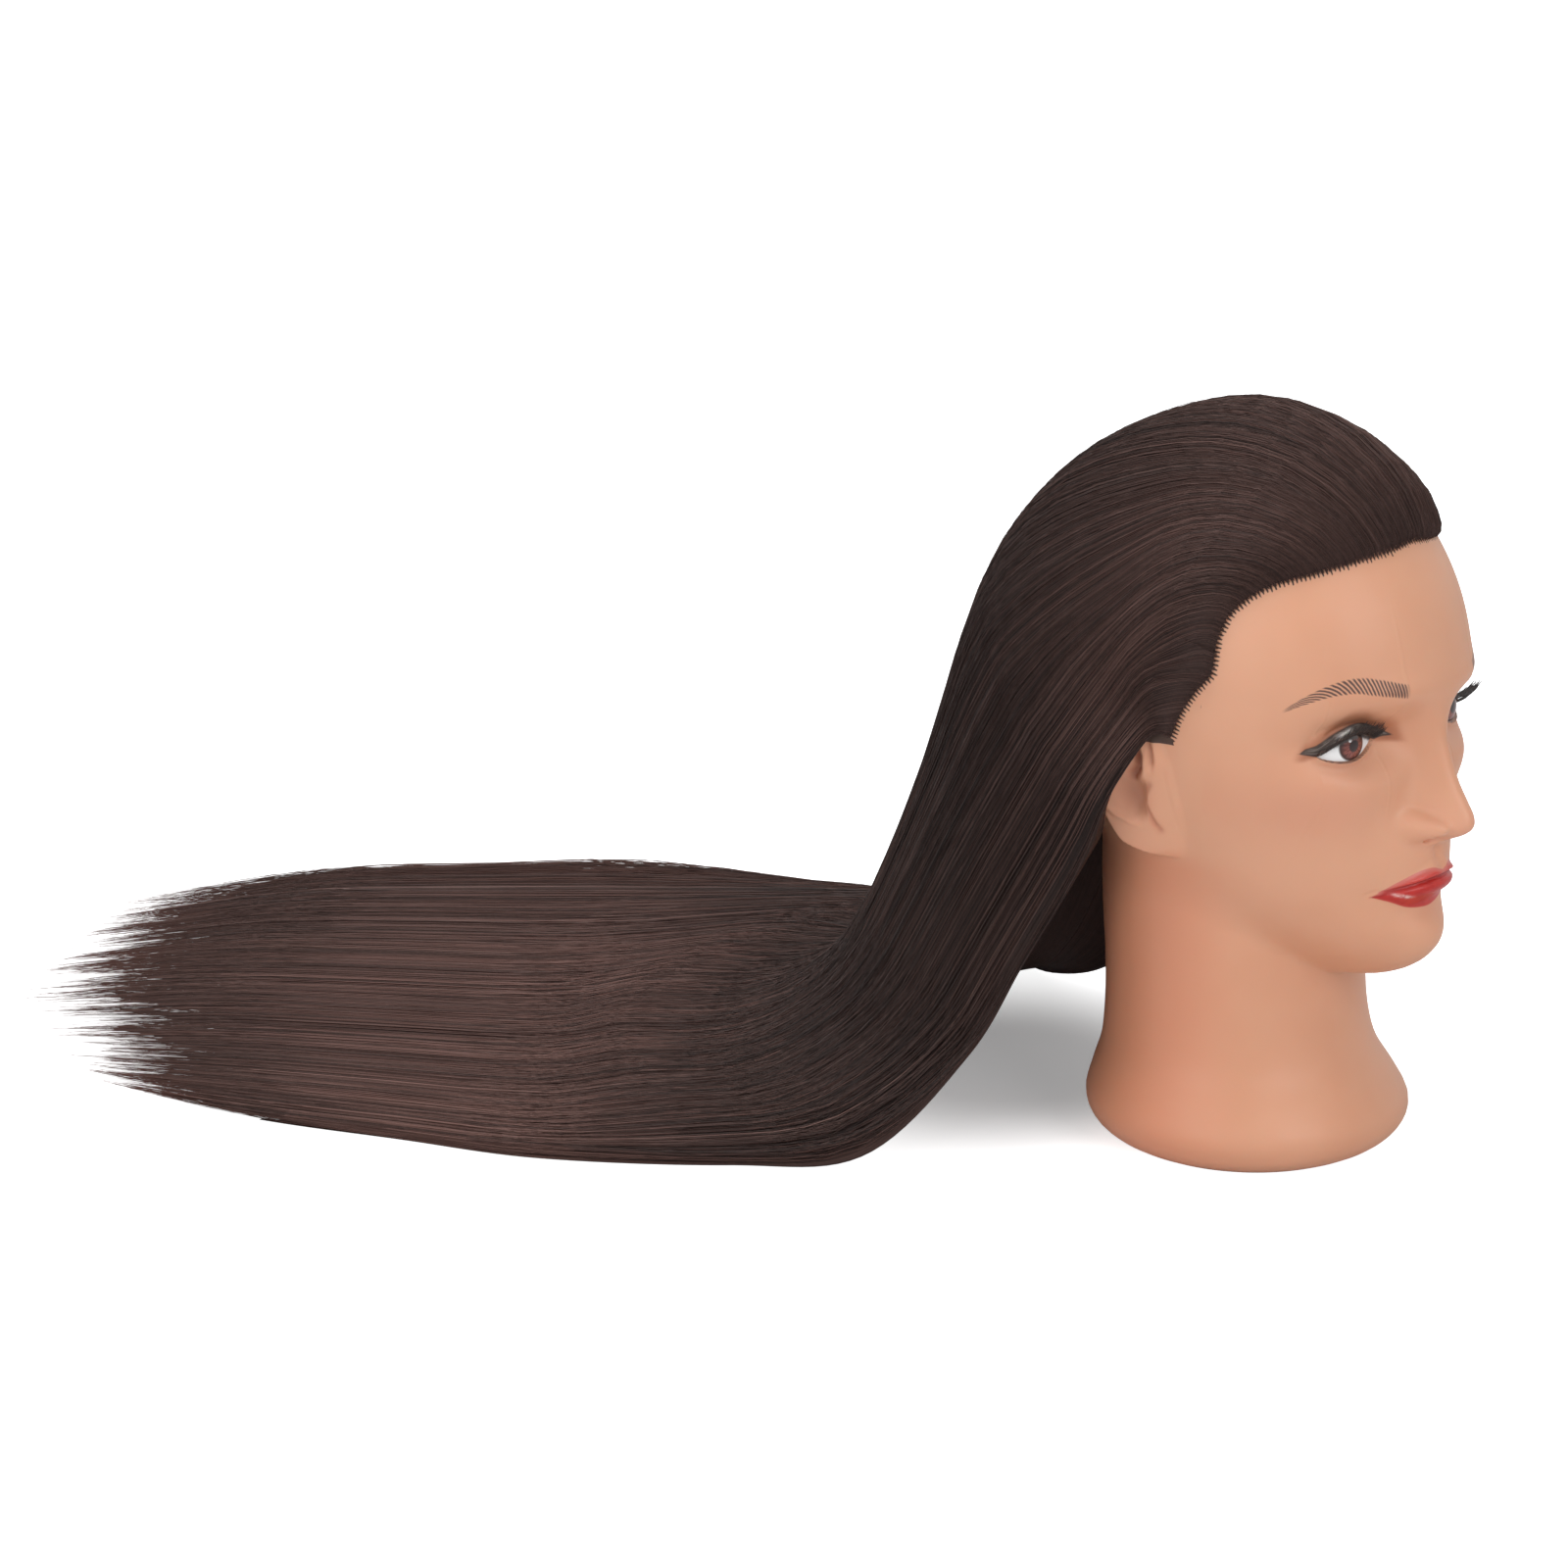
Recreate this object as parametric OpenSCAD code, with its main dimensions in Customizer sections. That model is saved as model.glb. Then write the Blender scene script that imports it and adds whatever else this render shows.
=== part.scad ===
// Mannequin training head for hair practice: a moulded vinyl head on a flared
// neck, filled with foam, with a socket for a table clamp and long rooted hair.
// Millimetres. +Z is up, the face looks to -Y, z = 0 is the table top.

/* [Head] */
// Height of the chin line above the table
neck_h = 84; // [74:1:96]
// Height from the chin line to the crown
head_h = 213; // [195:1:232]
// Width of the head at the temples
head_w = 143; // [130:1:158]
// Depth of the head from forehead to back
head_d = 185; // [170:1:200]

/* [Neck and base] */
// Widest diameter of the flared base
base_d = 131; // [120:1:145]
// Diameter of the neck at its waist
neck_d = 106; // [98:1:114]
// Thickness of the vinyl skin
skin_t = 5; // [4:0.5:6]

/* [Face] */
// How far the nose tip stands out from the cheeks
nose_out = 19.6; // [14:0.2:24]
// Distance between the middles of the two eyes
eye_span = 65; // [60:1:70]
// Width of the mouth from corner to corner
mouth_w = 49; // [42:1:56]
// How far the rear rim of an ear stands off the head
ear_out = 12; // [8:0.5:14]

/* [Clamp socket] */
// Diameter of the hole the clamp's post goes into
bore_d = 25.4; // [22:0.1:30]
// Depth of that hole
bore_h = 90; // [70:1:105]
// Wall of the socket tube
tube_t = 2.6; // [2:0.1:4]
// Clearance between the plastic parts and what holds them
fit = 0.3; // [0.2:0.05:0.5]

/* [Hair] */
// Length of hair lying on the table, at the middle of the tail
tail_l = 360; // [250:5:480]
// Half the width of the tail near the head
tail_w = 150; // [120:1:160]
// Direction of the tail, from straight back towards the right-hand side
sweep = 27; // [15:1:32]
// Thickness of the layer of hair
hair_t = 17; // [12:1:20]
// Gap between two neighbouring locks of hair
part_gap = 0.6; // [0.4:0.1:1]

/* [Hidden] */

kx = head_w / 143;               // size of the head against the drawn proportions
ky = head_d / 185;
kb = base_d / 130.8;
zc = 205;                        // widest level of the cranium, as drawn
cz = 92;                         // height of the cranium above it
aw = 71.5; ff = 87; bb = 98;     // half width, front and back of the cranium
nn = 1.82;                       // roundness of the cranium
top = zc + cz;                   // crown of the bare head, as drawn
ex = eye_span / 2 / kx;          // middle of an eye, as drawn
ez = 182.5; ey = -52; er = 16.5;
lx = mouth_w / 2 / kx;           // corner of the mouth, as drawn
rim = 50 * kb;                   // radius of the neck's bottom rim
plug_r = rim - skin_t - fit;
tube_r = bore_d / 2 + tube_t;
flange_r = tube_r + 9;
flange_t = 3;
plug_t = 8;                      // height of the plug inside the neck

// half depth of the face, half width and half depth of the back, from chin to temple
face_c = [[76,30],[80,58],[84,70.5],[89,78],[95,81.8],[103,83.5],[112,83],[125,82.5],[140,81.5],[160,80.5],[178,82],[192,85],[205,87]];
side_c = [[76,5],[80,14],[88,26],[95,35],[105,44.5],[118,52.5],[135,59.5],[152,65.5],[170,69.5],[188,71.3],[205,71.5]];
back_c = [[76,8],[80,10],[100,35],[120,52],[140,67],[160,81],[180,92],[205,98]];
// flare of the base (1 at its widest) and how far back the neck's middle lies
flare_c = [[0,-0.18],[3,0.32],[8,0.78],[16,1],[27,0.68],[38,0.25],[52,0.03],[70,-0.04],[100,0],[150,0]];
lean_c = [[0,0],[16,0],[45,5.5],[80,8],[100,9],[150,10]];
nose_c = [[134,0],[139,0.03],[142,0.33],[145,0.7],[148,0.92],[152.5,1],[158,0.89],[165,0.68],[175,0.43],[184,0.23],[191,0.12],[199,0.04],[206,0]];
nosew_c = [[134,9],[142,9],[149,10],[155,9],[165,7.6],[178,6.6],[190,8],[206,14]];
// [x, z, half width, half height, squareness, amount] of each swelling and hollow
form_c = [[0,204,40,10,1,1.2],[24,203,17,6,1,1.6],[50,196,12,9,1,1],[ex,184,19,12,1.4,-9.5],
          [15.5,186,8,10,1,-3.5],[43,166,19,16,1.1,5.8],[54,166,12,10,1,1.5],[0,134,24,16,1.2,4.4],
          [0,101,17,11,1.1,4.2],[0,114.5,16,5,1,-2.6],[26,122,8,8,1,-1.8],[29,142,6,12,1,-1],
          [12.6,148.6,4.9,5.2,1.4,8.8],[10.2,154.5,3,3.2,1,-1.3],[6.6,143.2,2.6,1.7,1.2,-3.4]];

function clamp1(t) = min(1, max(0, t));
function ease(t) = let (c = clamp1(t)) c * c * (3 - 2 * c);
function smax(a, b, k) = max(a, b) + pow(max(k - abs(a - b), 0), 2) / (4 * k);
function unit(v) = v / norm(v);
// smooth curve through the [position, value] pairs of p
function curve(z, p) =
    let (n = len(p), c = min(p[n - 1][0], max(p[0][0], z)),
         i = min(n - 2, max(0, len([for (q = p) if (q[0] <= c) 1]) - 1)),
         s = (p[i + 1][1] - p[i][1]) / (p[i + 1][0] - p[i][0]),
         s0 = i == 0 ? s : (p[i][1] - p[i - 1][1]) / (p[i][0] - p[i - 1][0]),
         s1 = i == n - 2 ? s : (p[i + 2][1] - p[i + 1][1]) / (p[i + 2][0] - p[i + 1][0]),
         m0 = (s0 + s) / 2, m1 = (s + s1) / 2,
         h = p[i + 1][0] - p[i][0], t = (c - p[i][0]) / h)
    (2 * t * t * t - 3 * t * t + 1) * p[i][1] + (t * t * t - 2 * t * t + t) * h * m0
    + (3 * t * t - 2 * t * t * t) * p[i + 1][1] + (t * t * t - t * t) * h * m1;

// from drawn proportions to the chosen sizes
function place(p) =
    let (w = ease((p[2] - 45) / 50))
    [p[0] * (kb + (kx - kb) * w), p[1] * (kb + (ky - kb) * w),
     p[2] < 84 ? p[2] * neck_h / 84 : neck_h + (p[2] - 84) * head_h / 213];

// ---- bare head: radius at an angle from the face's middle, and a height
function dome(z) = z > zc ? pow(max(1 - pow(min(1, (z - zc) / cz), nn), 0.000001), 1 / nn) : 1;
function head_r(a, z) =
    let (s = dome(z),
         f = z < zc ? curve(z, cos(a) > 0 ? face_c : back_c) : (cos(a) > 0 ? ff : bb) * s,
         w = z < zc ? curve(z, side_c) : aw * s)
    1 / sqrt(pow(cos(a) / f, 2) + pow(sin(a) / w, 2));
function neck_r(a, z) =
    let (r = (neck_d / kb + (130.8 - neck_d / kb) * curve(z, flare_c)) / 2, b = cos(a) * curve(z, lean_c))
    -b + sqrt(max(b * b + r * r - pow(curve(z, lean_c), 2), 0.01));
function base_r(a, z) = smax(z < 76 ? 0 : head_r(a, z), z > 150 ? 0 : neck_r(a, z), 7);

// ---- face: how far forward it stands at x, z
function bump(x, z, g) = g[5] * exp(-pow(pow((x - g[0]) / g[2], 2) + pow((z - g[1]) / g[3], 2), g[4]));
function lip_z(x) = 126.6 - 4.6 * pow(min(1.3, x / lx), 1.7);
function face_d(x, z, d0) =
    let (d1 = d0 + [for (g = form_c) bump(x, z, g)] * [for (g = form_c) 1]
              + nose_out * curve(z, nose_c) * exp(-pow(x / curve(z, nosew_c), 2.4)),
         mz = lip_z(x), e = pow(clamp1(1 - pow(x / lx, 2.2)), 0.6),
         up = x < 4 ? 132.2 - 1.6 * exp(-x * x / 9) : 132.2 - (x - 4) * 0.47,
         ut = (z - mz) / max(up - mz, 0.5), lt = (mz - z) / max(9.3 * e, 0.5),
         d2 = d1 + 2.3 * e * (z > mz ? exp(-pow((ut - 0.45) / 0.55, 2)) : 0.51 * exp((z - mz) / 3))
                 + 3.6 * e * (z < mz ? exp(-pow((lt - 0.45) / 0.5, 2)) : 0.44 * exp((mz - z) / 3))
                 - 2 * exp(-pow((z - mz) / 0.95, 2)) * clamp1(1 - pow(x / (lx + 3), 6))
                 - 1.1 * exp(-x * x / 5.3) * ease((z - 132) / 3) * ease((142 - z) / 4),
         q = pow(er, 2) - pow(x - ex, 2) - pow(z - ez, 2))
    q > 0 ? smax(d2, -ey + sqrt(q), 3) : d2;

// ---- ear: how far out the side stands at y, z
ear_c = [[143.5,-1],[148,1.9],[154.5,3.8],[158.5,3.2],[162.5,1.3]];   // front edge of its bowl
function ear_d(y, z) =
    let (v = (z - 158) * cos(8) + (y - 8) * sin(8), w = (y - 8) * cos(8) - (z - 158) * sin(8),
         q = pow(pow(abs(w / 17), 2.6) + pow(abs(v / 30), 2.6), 1 / 2.6),
         over = z - (130.3 + 0.1 * y + 0.0105 * y * y),           // above the lobe's lower edge
         p = 1 + ear_out * clamp1((w + 14) / 32) * (1 - 0.35 * ease((v - 5) / 22))
             + 1.6 * exp(-pow((q - 0.86) / 0.11, 2)) * ease((w + 4) / 8) * ease((v + 14) / 12)
             - 5.5 * ease((y - curve(z, ear_c)) / 2.2) * exp(-pow(pow((y - 9) / 7, 2) + pow((z - 156.5) / 8.5, 2), 1.4))
             - 2.8 * exp(-pow((y - 5.6) / 2.4, 2) - pow((z - 171) / 8, 2)))
    q > 1.1 ? 0 : ease((1.1 - q) / 0.26) * ease((over + 1.5) / 3.6) * max(0.2, p);
// smooth rise that the hair makes over an ear
function mound(y, z) = (ear_out + 1.5) * exp(-pow(pow((y - 18) / 21, 2) + pow((z - 157) / 34, 2), 1.5));

function skin_pt(a, z) =
    let (r = base_r(a, z), x = r * sin(a), y = -r * cos(a),
         w = ease((cos(a) - 0.1) / 0.35) * ease((z - 80) / 10),
         yf = w > 0 && z < 235 ? y - w * (face_d(abs(x), z, -y) + y) : y,
         xe = abs(y - 7) < 26 && abs(z - 157) < 34 ? x + sign(x) * ear_d(y, z) : x)
    [xe, yf, z];
// inner face of the skin: plain head, hollowed behind the eyes and raised under the chin
function lining(a, z, t) =
    let (r = base_r(a, max(z - 9 * exp(-pow((z - 84) / 17, 2)), 0.5)) - t * (z > 230 ? 1 + 0.5 * ease((z - 230) / 60) : 1),
         x = r * sin(a), y = -r * cos(a),
         h = cos(a) > 0 ? 14 * exp(-pow(pow((abs(x) - ex) / 25, 2) + pow((z - 185) / 17, 2), 1.2))
                          + 4 * exp(-pow(x / 30, 2) - pow((z - 113) / 9, 2)) : 0)
    [x, y + h, z];

// closed solid between two grids of points with the same rows and columns
module slab(outer, inner) {
    n = len(outer); m = len(outer[0]); k = n * m;
    polyhedron(
        points = concat([for (r = outer) each r], [for (r = inner) each r]),
        faces = concat(
            [for (i = [0:n - 2], j = [0:m - 2]) each let (a = i * m + j, b = a + 1, c = a + m, d = c + 1)
                [[a, b, d], [a, d, c], [k + a, k + d, k + b], [k + a, k + c, k + d]]],
            [for (i = [0:n - 2]) each let (a = i * m, c = a + m, b = a + m - 1, d = b + m)
                [[a, c, k + c], [a, k + c, k + a], [b, k + d, d], [b, k + b, k + d]]],
            [for (j = [0:m - 2]) each let (a = j, b = j + 1, c = (n - 1) * m + j, d = c + 1)
                [[a, k + b, b], [a, k + a, k + b], [c, d, k + d], [c, k + d, k + c]]]),
        convexity = 8);
}

// closed solid from rings stacked upwards, the last ring closed by a point
module stack(rings, tip, cap = true) {
    n = len(rings); m = len(rings[0]);
    polyhedron(points = concat([for (r = rings) each r], [tip]),
        faces = concat(
            [for (i = [0:n - 2], j = [0:m - 1]) each let (b = (j + 1) % m)
                [[i * m + j, (i + 1) * m + b, i * m + b], [i * m + j, (i + 1) * m + j, (i + 1) * m + b]]],
            [for (j = [0:m - 1]) [(n - 1) * m + j, n * m, (n - 1) * m + (j + 1) % m]],
            cap ? [[for (j = [0:m - 1]) j]] : []),
        convexity = 10);
}

// angles round the head: close on the face and at the ears, wide at the back
half_a = concat([for (i = [0:5]) i * 3.3], [for (i = [0:6]) 21 + i * 4.5], [for (i = [0:3]) 54 + i * 6.5],
                [for (i = [0:8]) 79.5 + i * 3.7], [for (i = [0:5]) 119 + i * 11]);
turn = concat([for (a = half_a) a], [for (i = [len(half_a) - 1:-1:1]) -half_a[i]]);
// levels of the rings: the face keeps its own, the cranium above the brow shares its height
brow = 191;
rows = concat([0, 3, 8, 16, 27, 38, 52, 66, 76, 80, 83, 86, 90, 95, 102, 109, 114, 119, 123, 127, 131, 135, 140, 144,
               149, 153, 158, 164, 170, 175, 179, 183, 187],
              [for (f = [0, 0.066, 0.151, 0.255, 0.368, 0.481, 0.594, 0.698, 0.792, 0.877, 0.943, 0.985])
                  brow + (top - brow) * f]);
in_rows = concat([0, 8, 16, 30, 52, 74, 84, 94, 109, 136, 176], [for (f = [0.06, 0.44, 0.745]) brow + (top - brow) * f]);

module vinyl_skin() {
    color([0.80, 0.55, 0.42])
    difference() {
        stack([for (z = rows) [for (a = turn) place(skin_pt(a, z))]], place([0, 0, top]));
        stack([for (z = in_rows) [for (a = turn) place(lining(a, z, skin_t / kx) - [0, 0, z == 0 ? 1 : 0])]],
              place([0, 0, top - 1.2 * skin_t]));
    }
}

// foam that fills the skin, cut for the plug below and the socket tube
module foam_core() {
    low = plug_t + fit;
    color([0.86, 0.84, 0.76])
    difference() {
        stack([for (z = in_rows) [for (a = turn) place(lining(a, z, (skin_t + fit) / kx)
                                                       + [0, 0, z == 0 ? low : z == 8 ? max(0, low + 2 - z) : 0])]],
              place([0, 0, top - 1.2 * skin_t - 0.5]));
        translate([0, 0, -1]) cylinder(r = tube_r + fit, h = bore_h + tube_t + fit + 1, $fn = 64);
    }
}

// moulded cap that closes the bottom of the neck
module base_plug() {
    color([0.28, 0.27, 0.27])
    difference() {
        union() {
            cylinder(r = plug_r, h = plug_t - 3, $fn = 96);
            cylinder(r = plug_r - 6, h = plug_t, $fn = 96);
        }
        translate([0, 0, -1]) cylinder(r = tube_r + fit, h = plug_t + 2, $fn = 64);
        translate([0, 0, -1]) cylinder(r = flange_r + fit, h = 1 + flange_t + fit, $fn = 64);
    }
}

// blind tube with a flange, for the post of a table clamp
module clamp_socket() {
    color([0.16, 0.16, 0.17])
    difference() {
        union() {
            cylinder(r = flange_r, h = flange_t, $fn = 64);
            cylinder(r = tube_r, h = bore_h + tube_t, $fn = 64);
        }
        translate([0, 0, -1]) cylinder(d = bore_d, h = bore_h + 1, $fn = 64);
    }
}

// ---- eyes: thin domes that lie on the moulded eyeballs
function face_y(x, z) = -face_d(abs(x), z, (z < zc ? curve(z, face_c) : ff * dome(z))
                        * sqrt(1 - pow(x / (z < zc ? curve(z, side_c) : aw * dome(z)), 2)));
function lid_up(t) = 180 + 8.8 * pow(max(0, 1 - t * t), 0.8) + 0.5 * t;
function lid_low(t) = 180 - 2.8 * (1 - t * t) + 0.5 * t;
module eye(s) {
    grid = function (d) [for (i = [0:6]) [for (j = [0:12])
        let (t = -0.9 + j * 0.15, x = s * (ex + t * 14),
             z = lid_low(t) + (lid_up(t) - lid_low(t)) * i / 6)
        place([x, face_y(x, z) - d, z])]];
    color([0.95, 0.94, 0.92])
    if (s > 0) slab(grid(1.5), grid(0.5)); else slab(grid(0.5), grid(1.5));
}

// ---- false lashes: a curved fringe over each eye
module lash(s) {
    grid = function (d) [for (i = [0:3]) [for (j = [0:14])
        let (t = -1 + j / 7, x = s * (ex + t * 14.4), z = lid_up(t) + 0.6,
             f = i / 3, l = (6.5 + 2.5 * t) * (j % 2 == 0 ? 1 : 0.72),
             y = face_y(s * (ex + t * 13), z - 0.6) - 1.9)
        place([x + s * l * f * 0.35 * (t + 0.25), y - l * f * 0.8, z + l * f * (0.1 + 0.5 * f) + d])]];
    color([0.05, 0.045, 0.05])
    if (s > 0) slab(grid(0.4), grid(-0.4)); else slab(grid(-0.4), grid(0.4));
}

// ---- hair: lines run from the hairline (s = 0) over the head, down behind it and
// along the table; u runs across them from the right-hand side (-1) to the left (1)
root_x = [[0,0],[0.12,13],[0.22,26],[0.33,39.6],[0.45,52],[0.53,58],[0.61,62.5],[0.69,66],[0.78,68],[0.87,69.8],[0.94,70.6],[1,70.8]];
root_y = [[0,-67.6],[0.12,-67.5],[0.22,-63],[0.33,-54.5],[0.45,-41.4],[0.53,-34],[0.61,-28.5],[0.69,-26],[0.78,-25],[0.87,-19.4],[0.94,-13],[1,-9]];
root_z = [[0,257],[0.12,256],[0.22,254],[0.33,250.5],[0.45,245.5],[0.53,240.5],[0.61,233.5],[0.69,224],[0.78,211.5],[0.87,204],[0.94,194],[1,183.5]];
lift_c = [[0,2.2],[0.03,4.4],[0.1,6.9],[0.22,6.8],[0.36,6.1],[0.5,5.6],[0.64,9.9],[0.8,17.5],[1,36]];
over_s = [0, 0.03, 0.1, 0.22, 0.36, 0.5, 0.64, 0.78, 0.9, 1];
ht = hair_t;
// where the layer's outer face goes behind the head: right edge, middle, left edge
fall_out = [[[-84,18,139.7],[-2,113,218],[78,26,153]], [[-76,27,123.6],[-4,138,152.6],[77,46,113]],
            [[-84,53.6,78.6],[-8,153.7,93],[84,84,66]], [[-104.7,63,46.6],[-12,182,52],[94,124,27]],
            [[-142.6,85.7,17.8],[-22,212,35.5],[104,168,9]], [[-169,129,6.6],[-46,249,35],[106,230,17]]];
// how far the locks crowd towards the middle there
gather = [0.57, 0.78, 1.02, 1, 1, 1];
fall_in = [for (i = [0:5]) let (k = fall_out[i], f = [1, 1, 1, 1, 1, 0][i])
    [[k[0][0] + 6 * f, k[0][1] + 4, i == 5 ? 0.5 : max(k[0][2] - [0, 0, 1, 4, 12, 0][i], 1)],
     [k[1][0], k[1][1] - ht * [1.15, 1.2, 1.35, 1.5, 1.85, 0.5][i], i == 5 ? 0.5 : k[1][2] - [4, 5, 8, 16, 26, 0][i]],
     [k[2][0] - 6 * f, k[2][1] + 3, i == 5 ? 0.5 : max(k[2][2] - [0, 0, 2, 5, 7, 0][i], 1)]]];

function dome_r(d) = 1 / pow(pow(sqrt(pow(d[0] / aw, 2) + pow(d[1] / (d[1] < 0 ? ff : bb), 2)), nn)
                     + pow(abs(d[2]) / cz, nn), 1 / nn);
function side(u) = sin(82 * abs(u)) / sin(82);
function fall(k, u, g = 1) = let (e = u < 0 ? k[0] : k[2], m = k[1], s = pow(side(u), g), c = pow(max(0, cos(90 * abs(u))), 0.58))
    [m[0] + (e[0] - m[0]) * s, e[1] + (m[1] - e[1]) * c, m[2] + (e[2] - m[2]) * (1 - c)];
function keys(u, inner) =
    let (v = abs(u), g = sign(u), c = [0, 0, zc],
         d0 = unit([g * curve(v, root_x), curve(v, root_y), curve(v, root_z)] - c),
         be = 101 * pow(v, 0.92) + 6.2 * pow(v, 8),
         d1 = unit([g * sin(be), 0.105 + 0.212 * v * v - 0.33 * pow(v, 8), cos(be)]),
         e = fall(fall_out[0], u, gather[0]) - c, d2 = unit(e), oe = norm(e) - dome_r(d2),
         ln = (tail_l - (u < 0 ? 81 : 4) * v * v) / ky,
         td = [-sin(sweep), cos(sweep), 0], tb = [cos(sweep), sin(sweep), 0])
    concat(
        [for (s = over_s)
            let (d = unit((s - 0.45) * (s - 1) / 0.45 * d0 - s * (s - 1) / 0.2475 * d1 + s * (s - 0.45) / 0.55 * d2),
                 w = ease((s - 0.39) / 0.61), o = curve(s, lift_c) * (1 - 0.2 * v * v) * (1 - w) + oe * w)
            c + d * (dome_r(d) + (inner ? 0.9 + max(o - ht, 0) : o))],
        [for (i = [1:5]) fall(inner ? fall_in[i] : fall_out[i], u, gather[i])],
        [for (i = [0:3])
            let (f = [0.33, 0.55, 0.78, 1][i], n = u < 0 ? 0.75 : 0.15,
                 w = tail_w * (u < 0 ? [1.09, 1.04, 0.98, 0.85][i] : [1.04, 0.98, 0.89, 0.74][i]))
            [-24.4, 188, inner ? 0.5 : [27, 23, 18, 4.5][i] * (1 - n * v * v * v)] + td * ln * f + tb * w * u]);
// smooth line through the keys
function strand(k, t) =
    let (n = len(k), q = t * (n - 1), i = min(n - 2, floor(q)), f = q - i,
         a = k[i], b = k[i + 1],
         ta = i == 0 ? b - a : (b - k[i - 1]) / 2, tb = i == n - 2 ? b - a : (k[i + 2] - a) / 2)
    (2 * f * f * f - 3 * f * f + 1) * a + (f * f * f - 2 * f * f + f) * ta
    + (3 * f * f - 2 * f * f * f) * b + (f * f * f - f * f) * tb;
// keeps the hair off the head and the ears
function clear(p, g) =
    let (z = min(p[2], top - 1), a = atan2(p[0], -p[1]), r = norm([p[0], p[1]]),
         rb = base_r(a, z), m = mound(-rb * cos(a), z),
         w = ease((z - 100) / 30) * ease((top - 14 - z) / 10) * ease((abs(a) - 50) / 15),
         k = max(1 + (smax(r, rb + m + g, min(5, max(0.05, 1.25 * m))) / r - 1) * w,
                 z > 100 && z < top - 14 ? (rb + g) / r : 1))
    [p[0] * k, p[1] * k, p[2]];
module lock(u0, u1) {
    h = part_gap / 500;
    us = [for (j = [0:4]) u0 + h + (u1 - u0 - 2 * h) * j / 4];
    ts = concat([for (i = [0:17]) i * 0.5 / 18], [for (i = [0:13]) 0.5 + i * 0.5 / 13]);
    ko = [for (u = us) keys(u, false)];
    ki = [for (u = us) keys(u, true)];
    color([0.10, 0.07, 0.06])
    slab([for (t = ts) [for (j = [4:-1:0]) place(clear(strand(ko[j], t), 2.4))]],
         [for (t = ts) [for (j = [4:-1:0]) place(clear(strand(ki[j], t), 1))]]);
}

vinyl_skin();
foam_core();
base_plug();
clamp_socket();
eye(-1);  // eye_right
eye(1);  // eye_left
lash(-1);  // lash_right
lash(1);  // lash_left
lock(-1, -0.72);  // hair_right_edge
lock(-0.72, -0.43);  // hair_right_side
lock(-0.43, -0.14);  // hair_right_crown
lock(-0.14, 0.14);  // hair_middle
lock(0.14, 0.43);  // hair_left_crown
lock(0.43, 0.72);  // hair_left_side
lock(0.72, 1);  // hair_left_edge
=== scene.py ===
import math
import bpy
import numpy as np
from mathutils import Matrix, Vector


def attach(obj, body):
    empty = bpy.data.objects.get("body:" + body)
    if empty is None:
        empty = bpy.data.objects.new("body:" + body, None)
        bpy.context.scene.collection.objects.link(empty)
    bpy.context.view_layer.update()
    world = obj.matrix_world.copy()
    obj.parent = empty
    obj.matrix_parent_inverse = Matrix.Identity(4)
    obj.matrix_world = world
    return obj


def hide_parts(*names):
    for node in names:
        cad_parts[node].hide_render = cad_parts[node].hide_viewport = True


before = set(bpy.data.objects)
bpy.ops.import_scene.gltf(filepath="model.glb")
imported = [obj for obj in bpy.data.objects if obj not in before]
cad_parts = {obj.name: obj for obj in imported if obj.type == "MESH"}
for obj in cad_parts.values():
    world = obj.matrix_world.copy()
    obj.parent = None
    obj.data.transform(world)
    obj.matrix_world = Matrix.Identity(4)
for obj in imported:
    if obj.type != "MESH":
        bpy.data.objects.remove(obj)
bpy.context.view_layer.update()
scene = bpy.context.scene
print("frame loaded")

# camera and light
camera = {"at": (-1.554889, -1.058768, 0.718626), "turn": 50.0, "down": 17.0, "lens": 112.5, "sensor": 36}
cameraData = bpy.data.cameras.new("camera")
cameraData.lens, cameraData.sensor_width = camera["lens"], camera["sensor"]
cameraPiece = bpy.data.objects.new("camera", cameraData)
scene.collection.objects.link(cameraPiece)
turn, down = math.radians(camera["turn"]), math.radians(camera["down"])
ahead = Vector((math.sin(turn) * math.cos(down), math.cos(turn) * math.cos(down), -math.sin(down)))
cameraPiece.location = camera["at"]
cameraPiece.rotation_euler = ahead.to_track_quat("-Z", "Y").to_euler()
scene.camera = cameraPiece

studio = {"skyLight": 0.42, "backdrop": 1.0, "glowFrom": (-0.005, 0.12, 0), "tableHalf": 6}
lamps = {   # place, aim, width, watts
    "keyLamp": ((-0.5, -1.7, 1.0), (0, 0, 0.17), 1.0, 10.0),
    "nearLamp": ((-1.85, 0.0, 0.85), (0, 0.0, 0.15), 1.2, 8.0),
    "topLamp": ((-0.45, 0.5, 1.9), (-0.05, 0.15, 0.05), 1.3, 16.5),
}
for name, (place, aim, width, watts) in lamps.items():
    lamp = bpy.data.lights.new(name, "AREA")
    lamp.size, lamp.energy = width, watts
    lampPiece = bpy.data.objects.new(name, lamp)
    lampPiece.location = place
    lampPiece.rotation_euler = (Vector(aim) - Vector(place)).to_track_quat("-Z", "Y").to_euler()
    scene.collection.objects.link(lampPiece)
scene.view_settings.view_transform = "Standard"


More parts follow.
